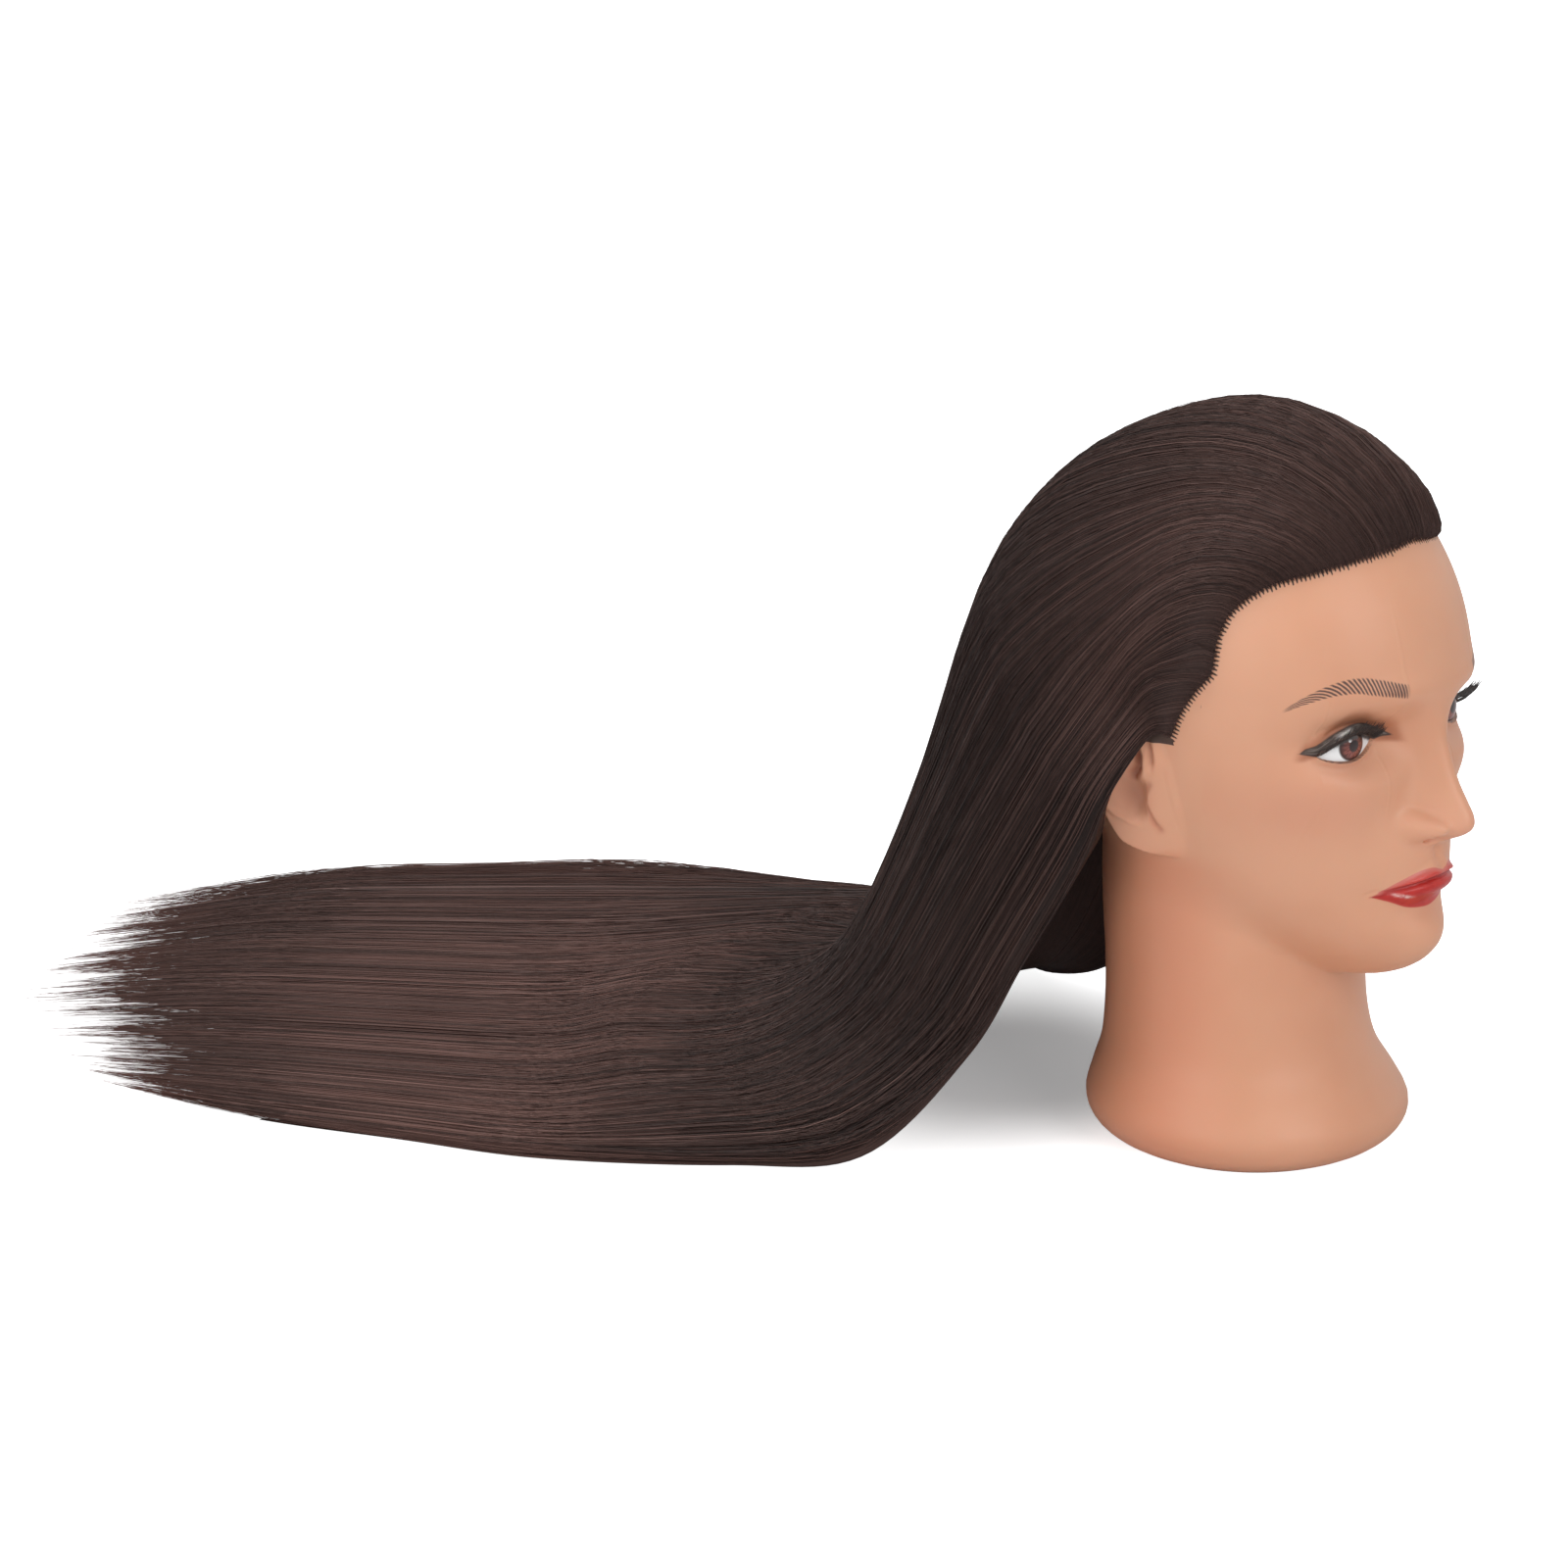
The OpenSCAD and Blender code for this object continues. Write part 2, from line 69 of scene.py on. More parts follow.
# nodes: one class wraps a socket, one makes the nodes
class Wire:
    def __init__(self, maker, socket):
        self.maker, self.socket = maker, socket

    def sums(self, operation, other, flip=False):
        pair = (other, self) if flip else (self, other)
        return self.maker.node("ShaderNodeMath", {"operation": operation}, dict(enumerate(pair)))

    def __add__(self, other): return self.sums("ADD", other)
    def __radd__(self, other): return self.sums("ADD", other, True)
    def __sub__(self, other): return self.sums("SUBTRACT", other)
    def __rsub__(self, other): return self.sums("SUBTRACT", other, True)
    def __mul__(self, other): return self.sums("MULTIPLY", other)
    def __rmul__(self, other): return self.sums("MULTIPLY", other, True)
    def __truediv__(self, other): return self.sums("DIVIDE", other)
    def __rtruediv__(self, other): return self.sums("DIVIDE", other, True)
    def __pow__(self, other): return self.sums("POWER", other)


class Maker:
    def __init__(self, tree):
        self.tree = tree

    def node(self, kind, settings=None, inputs=None, out=0):
        made = self.tree.nodes.new(kind)
        for name, value in (settings or {}).items():
            if name == "stops":   # places and colours of a ramp
                ramp = made.color_ramp
                while len(ramp.elements) < len(value):
                    ramp.elements.new(0.5)
                for element, (place, colour) in zip(ramp.elements, value):
                    element.position, element.color = place, (*colour, 1)
            else:
                setattr(made, name, value)
        for key, value in (inputs or {}).items():
            if isinstance(value, Wire):
                self.tree.links.new(value.socket, made.inputs[key])
            else:
                made.inputs[key].default_value = value
        return Wire(self, made.outputs[out])

    def value(self, name):   # a number stored on the mesh
        return self.node("ShaderNodeAttribute", {"attribute_name": name}, out="Fac")

    def place(self):   # where a point is on its piece
        return self.node("ShaderNodeTexCoord", out="Object")

    def ease(self, value, low, high, first=0.0, last=1.0):
        return self.node("ShaderNodeMapRange", {"interpolation_type": "SMOOTHSTEP"},
                         {0: value, 1: low, 2: high, 3: first, 4: last})

    def fade(self, value, low, high):
        return self.ease(value, low, high, 1.0, 0.0)

    def blend(self, mask, below, above):
        below, above = [c if isinstance(c, Wire) else (*c, 1) for c in (below, above)]
        return self.node("ShaderNodeMix", {"data_type": "RGBA"}, {0: mask, 6: below, 7: above}, out=2)

    def layers(self, colour, *coats):   # lays colours over one another, each through its mask
        for mask, above in coats:
            colour = self.blend(mask, colour, above)
        return colour

    def ramp(self, value, *stops):
        return self.node("ShaderNodeValToRGB", {"stops": stops}, {0: value})

    def saw(self, value):
        return self.node("ShaderNodeMath", {"operation": "PINGPONG"}, {0: value, 1: 0.5})

    def scaled(self, colour, amount):
        return self.node("ShaderNodeVectorMath", {"operation": "SCALE"}, {0: colour, 3: amount})

    def noise(self, place, scale, detail=3.0, roughness=0.5):
        return self.node("ShaderNodeTexNoise", {}, {"Vector": place, "Scale": scale, "Detail": detail,
                                                    "Roughness": roughness})

    def spot(self, x, y, z=0.0):
        return self.node("ShaderNodeCombineXYZ", {}, {0: x, 1: y, 2: z})

    def cloud(self, x, y, detail=1.0, roughness=0.5, z=0.0):   # noise over two numbers
        return self.noise(self.spot(x, y, z), 1.0, detail, roughness)

    def bump(self, height, strength, distance):
        return self.node("ShaderNodeBump", {}, {"Height": height, "Strength": strength, "Distance": distance})


def finish(name, **fixed):   # a new material, its node maker and its shader
    material = bpy.data.materials.new(name)
    material.use_nodes = True
    shader = material.node_tree.nodes["Principled BSDF"]
    for key, value in fixed.items():
        shader.inputs[key.replace("_", " ")].default_value = value
    return material, Maker(material.node_tree), shader


def feed(maker, shader, **wires):
    for key, wire in wires.items():
        maker.tree.links.new(wire.socket, shader.inputs[key.replace("_", " ")])


# curves and grids
def ease(t):
    t = np.clip(t, 0, 1)
    return t * t * (3 - 2 * t)


def between(t, a, b, slopeA, slopeB, width=1):   # smooth way from a (t 0) to b (t 1) with these slopes
    return ((2 * t**3 - 3 * t * t + 1) * a + (t**3 - 2 * t * t + t) * width * slopeA
            + (3 * t * t - 2 * t**3) * b + (t**3 - t * t) * width * slopeB)


def curveAt(z, points):   # smooth curve through (position, value) pairs
    p = np.array(points, float)
    xs, ys = p[:, 0], p[:, 1]
    slope = np.diff(ys) / np.diff(xs)
    tangent = np.concatenate([slope[:1], (slope[1:] + slope[:-1]) / 2, slope[-1:]])
    z = np.clip(z, xs[0], xs[-1])
    i = np.clip(np.searchsorted(xs, z, side="right") - 1, 0, len(xs) - 2)
    width = xs[i + 1] - xs[i]
    return between((z - xs[i]) / width, ys[i], ys[i + 1], tangent[i], tangent[i + 1], width)


def softMax(a, b, k):
    return np.maximum(a, b) + np.maximum(k - np.abs(a - b), 0) ** 2 / (4 * k)


def unit(v):
    return v / np.linalg.norm(v, axis=-1, keepdims=True)


def lengthAlong(points):   # distance from the first point to each one
    return np.concatenate([[0], np.cumsum(np.linalg.norm(np.diff(points, axis=0), axis=-1))])


def wave(u, seed):   # smooth repeatable ripple between about -1 and 1
    made = 0 * u
    for i, (rate, amount) in enumerate(((1, 1), (2.3, 0.6), (5.1, 0.35))):
        made = made + amount * np.sin(u * rate + seed * (1.7 + i)
                                      + 1.3 * np.sin(u * rate * 0.61 + seed * 2.9 + i))
    return made / 1.95


def meshFrom(name, points, groups, material, values=None):   # points in millimetres
    mesh = bpy.data.meshes.new(name)
    places = np.asarray(points, float).reshape(-1, 3) / 1000
    mesh.from_pydata(places.tolist(), [], [corners for group in groups for corners in group.tolist()])
    mesh.polygons.foreach_set("use_smooth", np.ones(len(mesh.polygons), bool))
    for key, value in (values or {}).items():
        value = np.asarray(value, np.float32)
        isVector = value.ndim > 1 and value.shape[-1] == 3
        kind, field = ("FLOAT_VECTOR", "vector") if isVector else ("FLOAT", "value")
        mesh.attributes.new(key, kind, "POINT").data.foreach_set(field, value.ravel())
    mesh.validate()
    mesh.materials.append(material)
    made = bpy.data.objects.new(name, mesh)
    scene.collection.objects.link(made)
    return made


def gridFaces(rows, columns, wrap=False, start=0, flip=False):
    i, j = np.meshgrid(np.arange(rows - 1), np.arange(columns if wrap else columns - 1), indexing="ij")
    k = (j + 1) % columns
    quads = np.stack([i * columns + j, i * columns + k, (i + 1) * columns + k, (i + 1) * columns + j], -1)
    quads = quads.reshape(-1, 4)
    return start + (quads[:, ::-1] if flip else quads)


def slabFaces(rows, columns, flip=False):   # closed solid between an outer and an inner grid
    n = rows * columns
    i, j = np.arange(rows - 1) * columns, np.arange(columns - 1)
    far, last = i + columns - 1, j + (rows - 1) * columns
    faces = np.concatenate([
        gridFaces(rows, columns), gridFaces(rows, columns, start=n, flip=True),
        np.stack([i, i + columns, n + i + columns, n + i], -1),
        np.stack([far + columns, far, n + far, n + far + columns], -1),
        np.stack([j + 1, j, n + j, n + j + 1], -1),
        np.stack([last, last + 1, n + last + 1, n + last], -1)])
    return faces[:, ::-1] if flip else faces


def slab(name, outer, inner, material, values, flip=False):   # both faces carry the same values
    return meshFrom(name, np.concatenate([outer.reshape(-1, 3), inner.reshape(-1, 3)]),
                    [slabFaces(*outer.shape[:2], flip)], material,
                    {key: np.concatenate([np.ravel(value)] * 2) for key, value in values.items()})


def titled(node):   # hair_middle becomes HairMiddle
    return node.title().replace("_", "")


# the moulded head
head = {
    "level": 205.0, "height": 92.0, "halfWidth": 71.5, "front": 87.0, "back": 98.0, "roundness": 1.82,
    "faceLine": [(76, 30), (80, 58), (84, 70.5), (89, 78), (95, 81.8), (103, 83.5), (112, 83), (125, 82.5),
                 (140, 81.5), (160, 80.5), (178, 82), (192, 85), (205, 87)],
    "sideLine": [(76, 5), (80, 14), (88, 26), (95, 35), (105, 44.5), (118, 52.5), (135, 59.5), (152, 65.5),
                 (170, 69.5), (188, 71.3), (205, 71.5)],
    "backLine": [(76, 8), (80, 10), (100, 35), (120, 52), (140, 67), (160, 81), (180, 92), (205, 98)],
    "neckFlare": [(0, -0.18), (3, 0.32), (8, 0.78), (16, 1), (27, 0.68), (38, 0.25), (52, 0.03), (70, -0.04),
                  (100, 0), (150, 0)],
    "neckLean": [(0, 0), (16, 0), (45, 5.5), (80, 8), (100, 9), (150, 10)],
    "neckWide": 130.8, "neckNarrow": 105.84, "neckEnd": 150, "jawFrom": 76, "jawBlend": 7,
    "plugHalf": 45, "plugDeep": 9, "top": 297,
}
face = {
    "noseOut": 19.6, "mouthHalf": 24.46, "mouthLevel": 126.6, "mouthFall": 4.6, "seamDeep": 2,
    "philtrumDeep": 1.1, "lipTop": 132.2, "lipLow": 9.3, "upperLipOut": 2.3, "lowerLipOut": 3.6,
    "eyeX": 32.5, "eyeY": -52.0, "eyeZ": 182.5, "eyeRadius": 16.5, "lidX": 35.5, "lidHalf": 12.4,
    "lidThick": 1.2, "lidRim": 0.45, "lidCrease": 1.3, "eyeInset": 1.3, "eyeSeat": 0.9, "fade": 235,
    "upperLid": [(23.1, 183.9), (24.4, 184.9), (27.1, 186), (30, 186.9), (33.2, 187.5), (37.5, 187.3),
                 (40.1, 186.5), (43.7, 184.8), (46.3, 182.5), (47.9, 180.4)],
    "lowerLid": [(23.1, 183.7), (24.2, 182), (26.9, 180.1), (30.7, 178.5), (34.1, 177.7), (37, 177.4),
                 (39.6, 177.5), (43.2, 178.1), (46, 179), (47.9, 180.2)],
    "noseLine": [(134, 0), (139, 0.03), (142, 0.33), (145, 0.7), (148, 0.92), (152.5, 1), (158, 0.89),
                 (165, 0.68), (175, 0.43), (184, 0.23), (191, 0.12), (199, 0.04), (206, 0)],
    "noseWidth": [(134, 9), (142, 9), (149, 10), (155, 9), (165, 7.6), (178, 6.6), (190, 8), (206, 14)],
    "forms": [   # x, z, half width, half height, squareness, how far out
        (0, 204, 40, 10, 1, 1.2), (24, 203, 17, 6, 1, 1.6), (50, 196, 12, 9, 1, 1),
        (32.5, 184, 19, 12, 1.4, -9.5), (15.5, 186, 8, 10, 1, -3.5), (43, 166, 19, 16, 1.1, 5.8),
        (54, 166, 12, 10, 1, 1.5), (0, 134, 24, 16, 1.2, 4.4), (0, 101, 17, 11, 1.1, 4.2),
        (0, 114.5, 16, 5, 1, -2.6), (26, 122, 8, 8, 1, -1.8), (29, 142, 6, 12, 1, -1),
        (12.6, 148.6, 4.9, 5.2, 1.4, 8.8), (10.2, 154.5, 3, 3.2, 1, -1.3), (6.6, 142.8, 2.8, 1.6, 1.2, -4.6)],
}


def domeAt(z):
    t = np.clip((z - head["level"]) / head["height"], 0, 1)
    return np.maximum(1 - t ** head["roundness"], 1e-6) ** (1 / head["roundness"])


def profileAt(z, line, reach):   # one outline of the head, which ends in a dome above the level
    return np.where(z < head["level"], curveAt(z, head[line]), head[reach] * domeAt(z))


def headRadius(a, z):   # from the axis out, at an angle from the nose
    front, back = profileAt(z, "faceLine", "front"), profileAt(z, "backLine", "back")
    depth, side = np.where(np.cos(a) > 0, front, back), profileAt(z, "sideLine", "halfWidth")
    return 1 / np.sqrt((np.cos(a) / depth) ** 2 + (np.sin(a) / side) ** 2)


def bareRadius(a, z):   # head and neck together
    r = (head["neckNarrow"] + (head["neckWide"] - head["neckNarrow"]) * curveAt(z, head["neckFlare"])) / 2
    lean = curveAt(z, head["neckLean"])
    b = np.cos(a) * lean
    neck = -b + np.sqrt(np.maximum(b * b + r * r - lean * lean, 0.01))
    skull = np.where(z < head["jawFrom"], 0, headRadius(a, np.maximum(z, head["jawFrom"])))
    return softMax(skull, np.where(z > head["neckEnd"], 0, neck), head["jawBlend"])


def lidLines(ax):   # place across the eye, and the edges of both lids
    return (ax - face["lidX"]) / face["lidHalf"], curveAt(ax, face["upperLid"]), curveAt(ax, face["lowerLid"])


def mouthLine(ax):
    return face["mouthLevel"] - face["mouthFall"] * np.minimum(1.3, ax / face["mouthHalf"]) ** 1.7


def lipEdges(ax):   # top of the upper lip, and how full the lips are
    full = np.clip(1 - (ax / face["mouthHalf"]) ** 2.2, 0, 1) ** 0.6
    return face["lipTop"] - np.where(ax < 4, 1.6 * np.exp(-ax * ax / 9), (ax - 4) * 0.47), full


def eyeball(ax, z, radius):
    q = radius**2 - (ax - face["eyeX"]) ** 2 - (z - face["eyeZ"]) ** 2
    return np.where(q > 0, -face["eyeY"] + np.sqrt(np.maximum(q, 1e-6)), -99)


def bareDepth(x, z):   # how far forward the head stands before the face is added
    side = profileAt(z, "sideLine", "halfWidth")
    return profileAt(z, "faceLine", "front") * np.sqrt(np.maximum(1 - (x / side) ** 2, 0.01))


def features(ax, z, depth):   # nose, lips, cheeks and chin
    d = depth + 0
    for cx, cz, wx, wz, power, amount in face["forms"]:
        d = d + amount * np.exp(-(((ax - cx) / wx) ** 2 + ((z - cz) / wz) ** 2) ** power)
    width = curveAt(z, face["noseWidth"])
    d = d + face["noseOut"] * curveAt(z, face["noseLine"]) * np.exp(-(ax / width) ** 2.4)
    mouth = mouthLine(ax)
    lipTop, full = lipEdges(ax)
    for out, away, high, softness, rest in (
            (face["upperLipOut"], z - mouth, lipTop - mouth, 0.55, 0.51),
            (face["lowerLipOut"], mouth - z, face["lipLow"] * full, 0.5, 0.44)):
        swell = np.exp(-((away / np.maximum(high, 0.5) - 0.45) / softness) ** 2)
        d = d + out * full * np.where(away > 0, swell, rest * np.exp(np.minimum(away, 0) / 3))
    seam = np.exp(-((z - mouth) / 0.95) ** 2) * np.clip(1 - (ax / (face["mouthHalf"] + 3)) ** 6, 0, 1)
    philtrum = np.exp(-ax * ax / 5.3) * ease((z - 132) / 3) * ease((142 - z) / 4)
    return d - face["seamDeep"] * seam - face["philtrumDeep"] * philtrum


def eyeSurface(ax, z, bare):   # where the eye itself lies
    return softMax(bare - face["eyeInset"], eyeball(ax, z, face["eyeRadius"]), 3)


def lidSurface(ax, z, bare):
    return softMax(bare, eyeball(ax, z, face["eyeRadius"] + face["lidThick"]), 3)


def faceDepth(x, z, depth):   # how far forward the face stands, lids and eye openings included
    ax = np.abs(x)
    bare = features(ax, z, depth)
    t, upper, lower = lidLines(ax)
    lids = lidSurface(ax, z, bare)
    opening = np.where(np.abs(t) < 1, np.minimum(upper - z, z - lower),
                       -(np.abs(t) - 1) * face["lidHalf"] - 0.3)
    rim = np.exp(-((opening + 0.5) / 0.9) ** 2)
    crease = np.exp(-((z - upper - 4.2) / 1.4) ** 2)
    lids = lids + face["lidRim"] * rim * ease((1.15 - np.abs(t)) / 0.3)
    lids = lids - face["lidCrease"] * crease * ease((1.05 - np.abs(t)) / 0.4)
    w = ease((opening + 0.35) / 0.8)
    return lids * (1 - w) + (eyeSurface(ax, z, bare) - face["eyeSeat"]) * w


ear = {   # middle back and up, half sizes, lean in degrees; then lines as places back and up
    "back": 8, "up": 158, "halfWide": 17, "halfHigh": 30, "squareness": 2.6, "lean": 8, "out": 12.0,
    "rollOut": 1.6, "bowlDeep": 5.5, "bowl": (9, 156.5, 7, 8.5), "near": (7, 157, 34), "moundOut": 13.5,
    "folds": (("helix", 1.5, 1.5), ("crus", 1.2, 1.8), ("groove", -1.3, 0.8), ("fossa", -3.4, 1.7),
              ("tragus", -1.3, 0.9), ("antihelix", 1.1, 1.3)),   # line, how far out, how wide
    "helix": [(6.5, 181.5), (4.2, 177.9), (2.7, 174.1), (2.2, 168.2), (4.4, 163.8)],
    "crus": [(-1.6, 180.3), (-2.5, 175.6), (-2.6, 171.6), (-1, 166.5)],
    "groove": [(1.4, 180.3), (0.2, 176.5), (-0.4, 172.1)],
    "fossa": [(7.3, 180.4), (5.2, 174.2), (5.5, 169.8), (8.3, 165.8), (8.9, 164)],
    "tragus": [(-1, 143.5), (0.6, 145.5), (1.9, 148), (3.1, 151.5), (3.8, 154.5), (3.2, 158.5), (1.3, 162.5)],
    "antihelix": [(22, 153.5), (20.2, 151.8), (16.3, 148.2), (11, 145.6), (7.9, 144.4)],
}


def nearLine(y, z, line):   # distance to a bent line, and how far along it
    best, where = np.full(np.shape(y), 99.0), np.zeros(np.shape(y))
    for i, (p, q) in enumerate(zip(line[:-1], line[1:])):
        dy, dz = q[0] - p[0], q[1] - p[1]
        t = np.clip(((y - p[0]) * dy + (z - p[1]) * dz) / (dy * dy + dz * dz), 0, 1)
        gap = np.hypot(y - p[0] - t * dy, z - p[1] - t * dz)
        where = np.where(gap < best, (i + t) / (len(line) - 1), where)
        best = np.minimum(best, gap)
    return best, where


def bowlAt(y, z):   # the hollow before the ear canal, 1 where it is deepest
    back, up, wide, high = ear["bowl"]
    return np.exp(-(((y - back) / wide) ** 2 + ((z - up) / high) ** 2) ** 1.4)


def nearEar(y, z, reach):   # true where the ear may stand out
    back, up, high = ear["near"]
    return (np.abs(y - back) < reach) & (np.abs(z - up) < high)


def earDepth(y, z):   # how far out the side stands
    c, s = math.cos(math.radians(ear["lean"])), math.sin(math.radians(ear["lean"]))
    y0, z0 = y - ear["back"], z - ear["up"]
    v, w = z0 * c + y0 * s, y0 * c - z0 * s
    n = ear["squareness"]
    q = (np.abs(w / ear["halfWide"]) ** n + np.abs(v / ear["halfHigh"]) ** n) ** (1 / n)
    over = z - (130.3 + 0.1 * y + 0.0105 * y * y)      # above the lower edge of the lobe
    body = ease((1.1 - q) / 0.26) * ease((over + 0.6) / 1.8)
    relief = 1 + ear["out"] * np.clip((w + 14) / 32, 0, 1) * (1 - 0.35 * ease((v - 5) / 22))
    roll = ear["rollOut"] * np.exp(-((q - 0.86) / 0.11) ** 2)
    relief = relief + roll * ease((w + 4) / 8) * ease((v + 14) / 12)
    tragusY, tragusZ = zip(*ear["tragus"])
    inside = ease((y - np.interp(z, tragusZ, tragusY)) / 2.2)
    relief = relief - ear["bowlDeep"] * inside * bowlAt(y, z)
    for name, amount, width in ear["folds"]:
        gap, where = nearLine(y, z, ear[name])
        fade = np.minimum(1, 0.35 + 2.6 * np.minimum(where, 1 - where))
        relief = relief + amount * np.exp(-(gap / width) ** 2) * fade
    return np.where(q > 1.1, 0, body * np.maximum(0.2, relief))


def earMound(y, z):   # smooth rise that the hair makes over an ear
    return ear["moundOut"] * np.exp(-(((y - 18) / 21) ** 2 + ((z - 157) / 34) ** 2) ** 1.5)


def skinPoint(a, z):   # the outside of the skin at an angle and a level
    r = bareRadius(a, z)
    x, y = r * np.sin(a), -r * np.cos(a)
    w = ease((np.cos(a) - 0.1) / 0.35) * ease((z - 80) / 10) * (z < face["fade"])
    ahead = y - w * (faceDepth(x, z, -y) + y)
    aside = np.where(nearEar(y, z, 26), x + np.sign(x) * earDepth(y, z), x)
    return np.stack([aside, ahead, z + 0 * x], -1)


hairline = np.array([   # place from the middle of the forehead (0) to the ear (1), then across, back and up
    (0, 0, -67.6, 257), (0.12, 13, -67.5, 256), (0.22, 26, -63, 254), (0.33, 39.6, -54.5, 250.5),
    (0.45, 52, -41.4, 245.5), (0.53, 58, -34, 240.5), (0.61, 62.5, -28.5, 233.5), (0.69, 66, -26, 224),
    (0.78, 68, -25, 211.5), (0.87, 69.8, -19.4, 204), (0.94, 70.6, -13, 194), (1, 70.8, -9, 183.5)])


def hairlineAt(v, side=1):
    across, back, up = [curveAt(v, hairline[:, [0, column]]) for column in (1, 2, 3)]
    return np.stack([side * across, back, up], -1)


def spans(*parts):   # positions from (start, end, count) parts
    return np.concatenate([np.linspace(a, b, n, endpoint=False) for a, b, n in parts])


# angles round the head and levels up it, closer together on the face and the ears
half = spans((0, 42, 96), (42, 50, 9), (50, 78, 17), (78, 114, 68), (114, 180, 12))
around = np.radians(np.concatenate([half, [180], -half[:0:-1]]))
levels = spans((0, 14, 8), (14, 76, 18), (76, 92, 12), (92, 112, 18), (112, 134, 34), (134, 140, 8),
               (140, 158, 27), (158, 172, 20), (172, 194, 40), (194, 212, 16), (212, 270, 17),
               (270, 290, 7), (290, 296.8, 6))
angle, level = np.meshgrid(around, levels)
skin = skinPoint(angle, level)
plug = head["plugHalf"]
rim = np.stack([np.stack([plug * np.sin(around), -plug * np.cos(around), 0 * around + z], -1)
                for z in (head["plugDeep"], 0)])
rows, columns = len(skin) + 2, len(around)
points = np.concatenate([np.concatenate([rim, skin]).reshape(-1, 3), [[0, 0, head["top"]]]])
last = (rows - 1) * columns + np.arange(columns)
cap = np.stack([last, np.roll(last, -1), np.full(columns, len(points) - 1)], -1)

makeUp = {   # painted lines as (across, up) pairs
    "lipUpper": [(0, 129.4), (1.9, 130.0), (4.5, 130.9), (7.7, 130.8), (11.7, 129.8), (16.9, 127.3),
                 (20.8, 124.5), (24.6, 120.3)],
    "lipLower": [(0, 113), (2.4, 113.1), (12.3, 114.8), (19, 117.8), (24.6, 120.1)],
    "lipsMeet": [(0, 126.4), (3.7, 126.2), (9.7, 125.6), (15, 124.5), (19.9, 122.8), (24.6, 120.2)],
    "lipShine": [(9, 119.5), (13.4, 119.8), (16.9, 120.9), (20.5, 121.9)],
    "linerTop": [(15.5, 184.4), (18, 185.9), (21, 187.5), (25.7, 189.9), (30.1, 191.6), (33.5, 191.7),
                 (37.2, 190.9), (42.7, 188.9), (46.7, 186.1), (48.9, 184.1), (51.1, 182.2), (52.2, 181.2)],
    "linerFoot": [(15.5, 184.2), (20, 184.1), (23.2, 183.6), (24.4, 184.4), (27.1, 185.5), (33.2, 187),
                  (37.5, 186.8), (43.7, 184.3), (46.3, 182), (47.9, 180.4), (49.5, 180.5), (52.2, 181.2)],
    "smokeTop": [(9, 183), (12.4, 188), (17.3, 193), (28.4, 197.6), (36.4, 200.6), (40.5, 200), (43, 196.6),
                 (46, 192.6), (50, 187.6), (53, 184), (56, 180)],
    "smokeFoot": [(10, 181), (16, 182.4), (23, 183.4), (33, 187), (44, 184.4), (47.9, 180.6), (51, 179),
                  (56, 178)],
}
brow = {   # where it starts and how far it runs round the face in degrees, then its line and half height
    "from": 15.2, "run": 34.0, "strokes": 34.0,
    "middle": [(0, 205.2), (0.2, 207.4), (0.4, 208.9), (0.6, 207.4), (0.8, 203.6), (1, 198.4)],
    "half": [(0, 2.5), (0.25, 2.9), (0.5, 2.5), (0.8, 1.5), (1, 0.5)],
}


def blot(across, wide, up, high, squareness=2):   # soft spot, 1 in its middle
    return np.exp(-(across / wide) ** squareness - (up / high) ** 2)


px, py, pz = points.T
ax, ahead = np.abs(px), py < -20
lidT, _, lidLower = lidLines(ax)
above = {name: pz - curveAt(ax, line) for name, line in makeUp.items()}   # height over each line
nearMouth = ahead & (pz > 110) & (pz < 140)
nearEye = ahead & (pz > 168) & (pz < 202)
inLips = np.minimum(np.minimum(-above["lipUpper"], above["lipLower"]), (24.9 - ax) * 0.8)
inLiner = np.minimum(-above["linerTop"], above["linerFoot"])
inLiner = np.minimum(inLiner, np.minimum(52.6 - ax, ax - 15.5) * 0.6)
linerHigh = np.maximum(above["linerFoot"] - above["linerTop"], 0.5)
lowerLiner = 0.1 + 0.2 * ease((lidT + 0.9) / 0.9) - np.abs(pz - lidLower + 0.15)
smoke = ease((1.5 - above["smokeTop"]) / 8.5) * ease((above["smokeFoot"] + 1.8) / 2.6)
turned = np.degrees(np.arctan2(ax, -py))
browP = (turned - brow["from"]) / brow["run"]
browQ = (pz - curveAt(browP, brow["middle"])) / curveAt(browP, brow["half"])
# painted shade: darker in the hollow before the ear canal and along the ear's folds
earFold = 0.55 * bowlAt(py, pz)
for name, width, amount in (("fossa", 2.2, 0.9), ("groove", 1.0, 0.6), ("tragus", 1.5, 0.7)):
    earFold = np.maximum(earFold, amount * np.exp(-(nearLine(py, pz, ear[name])[0] / width) ** 2))
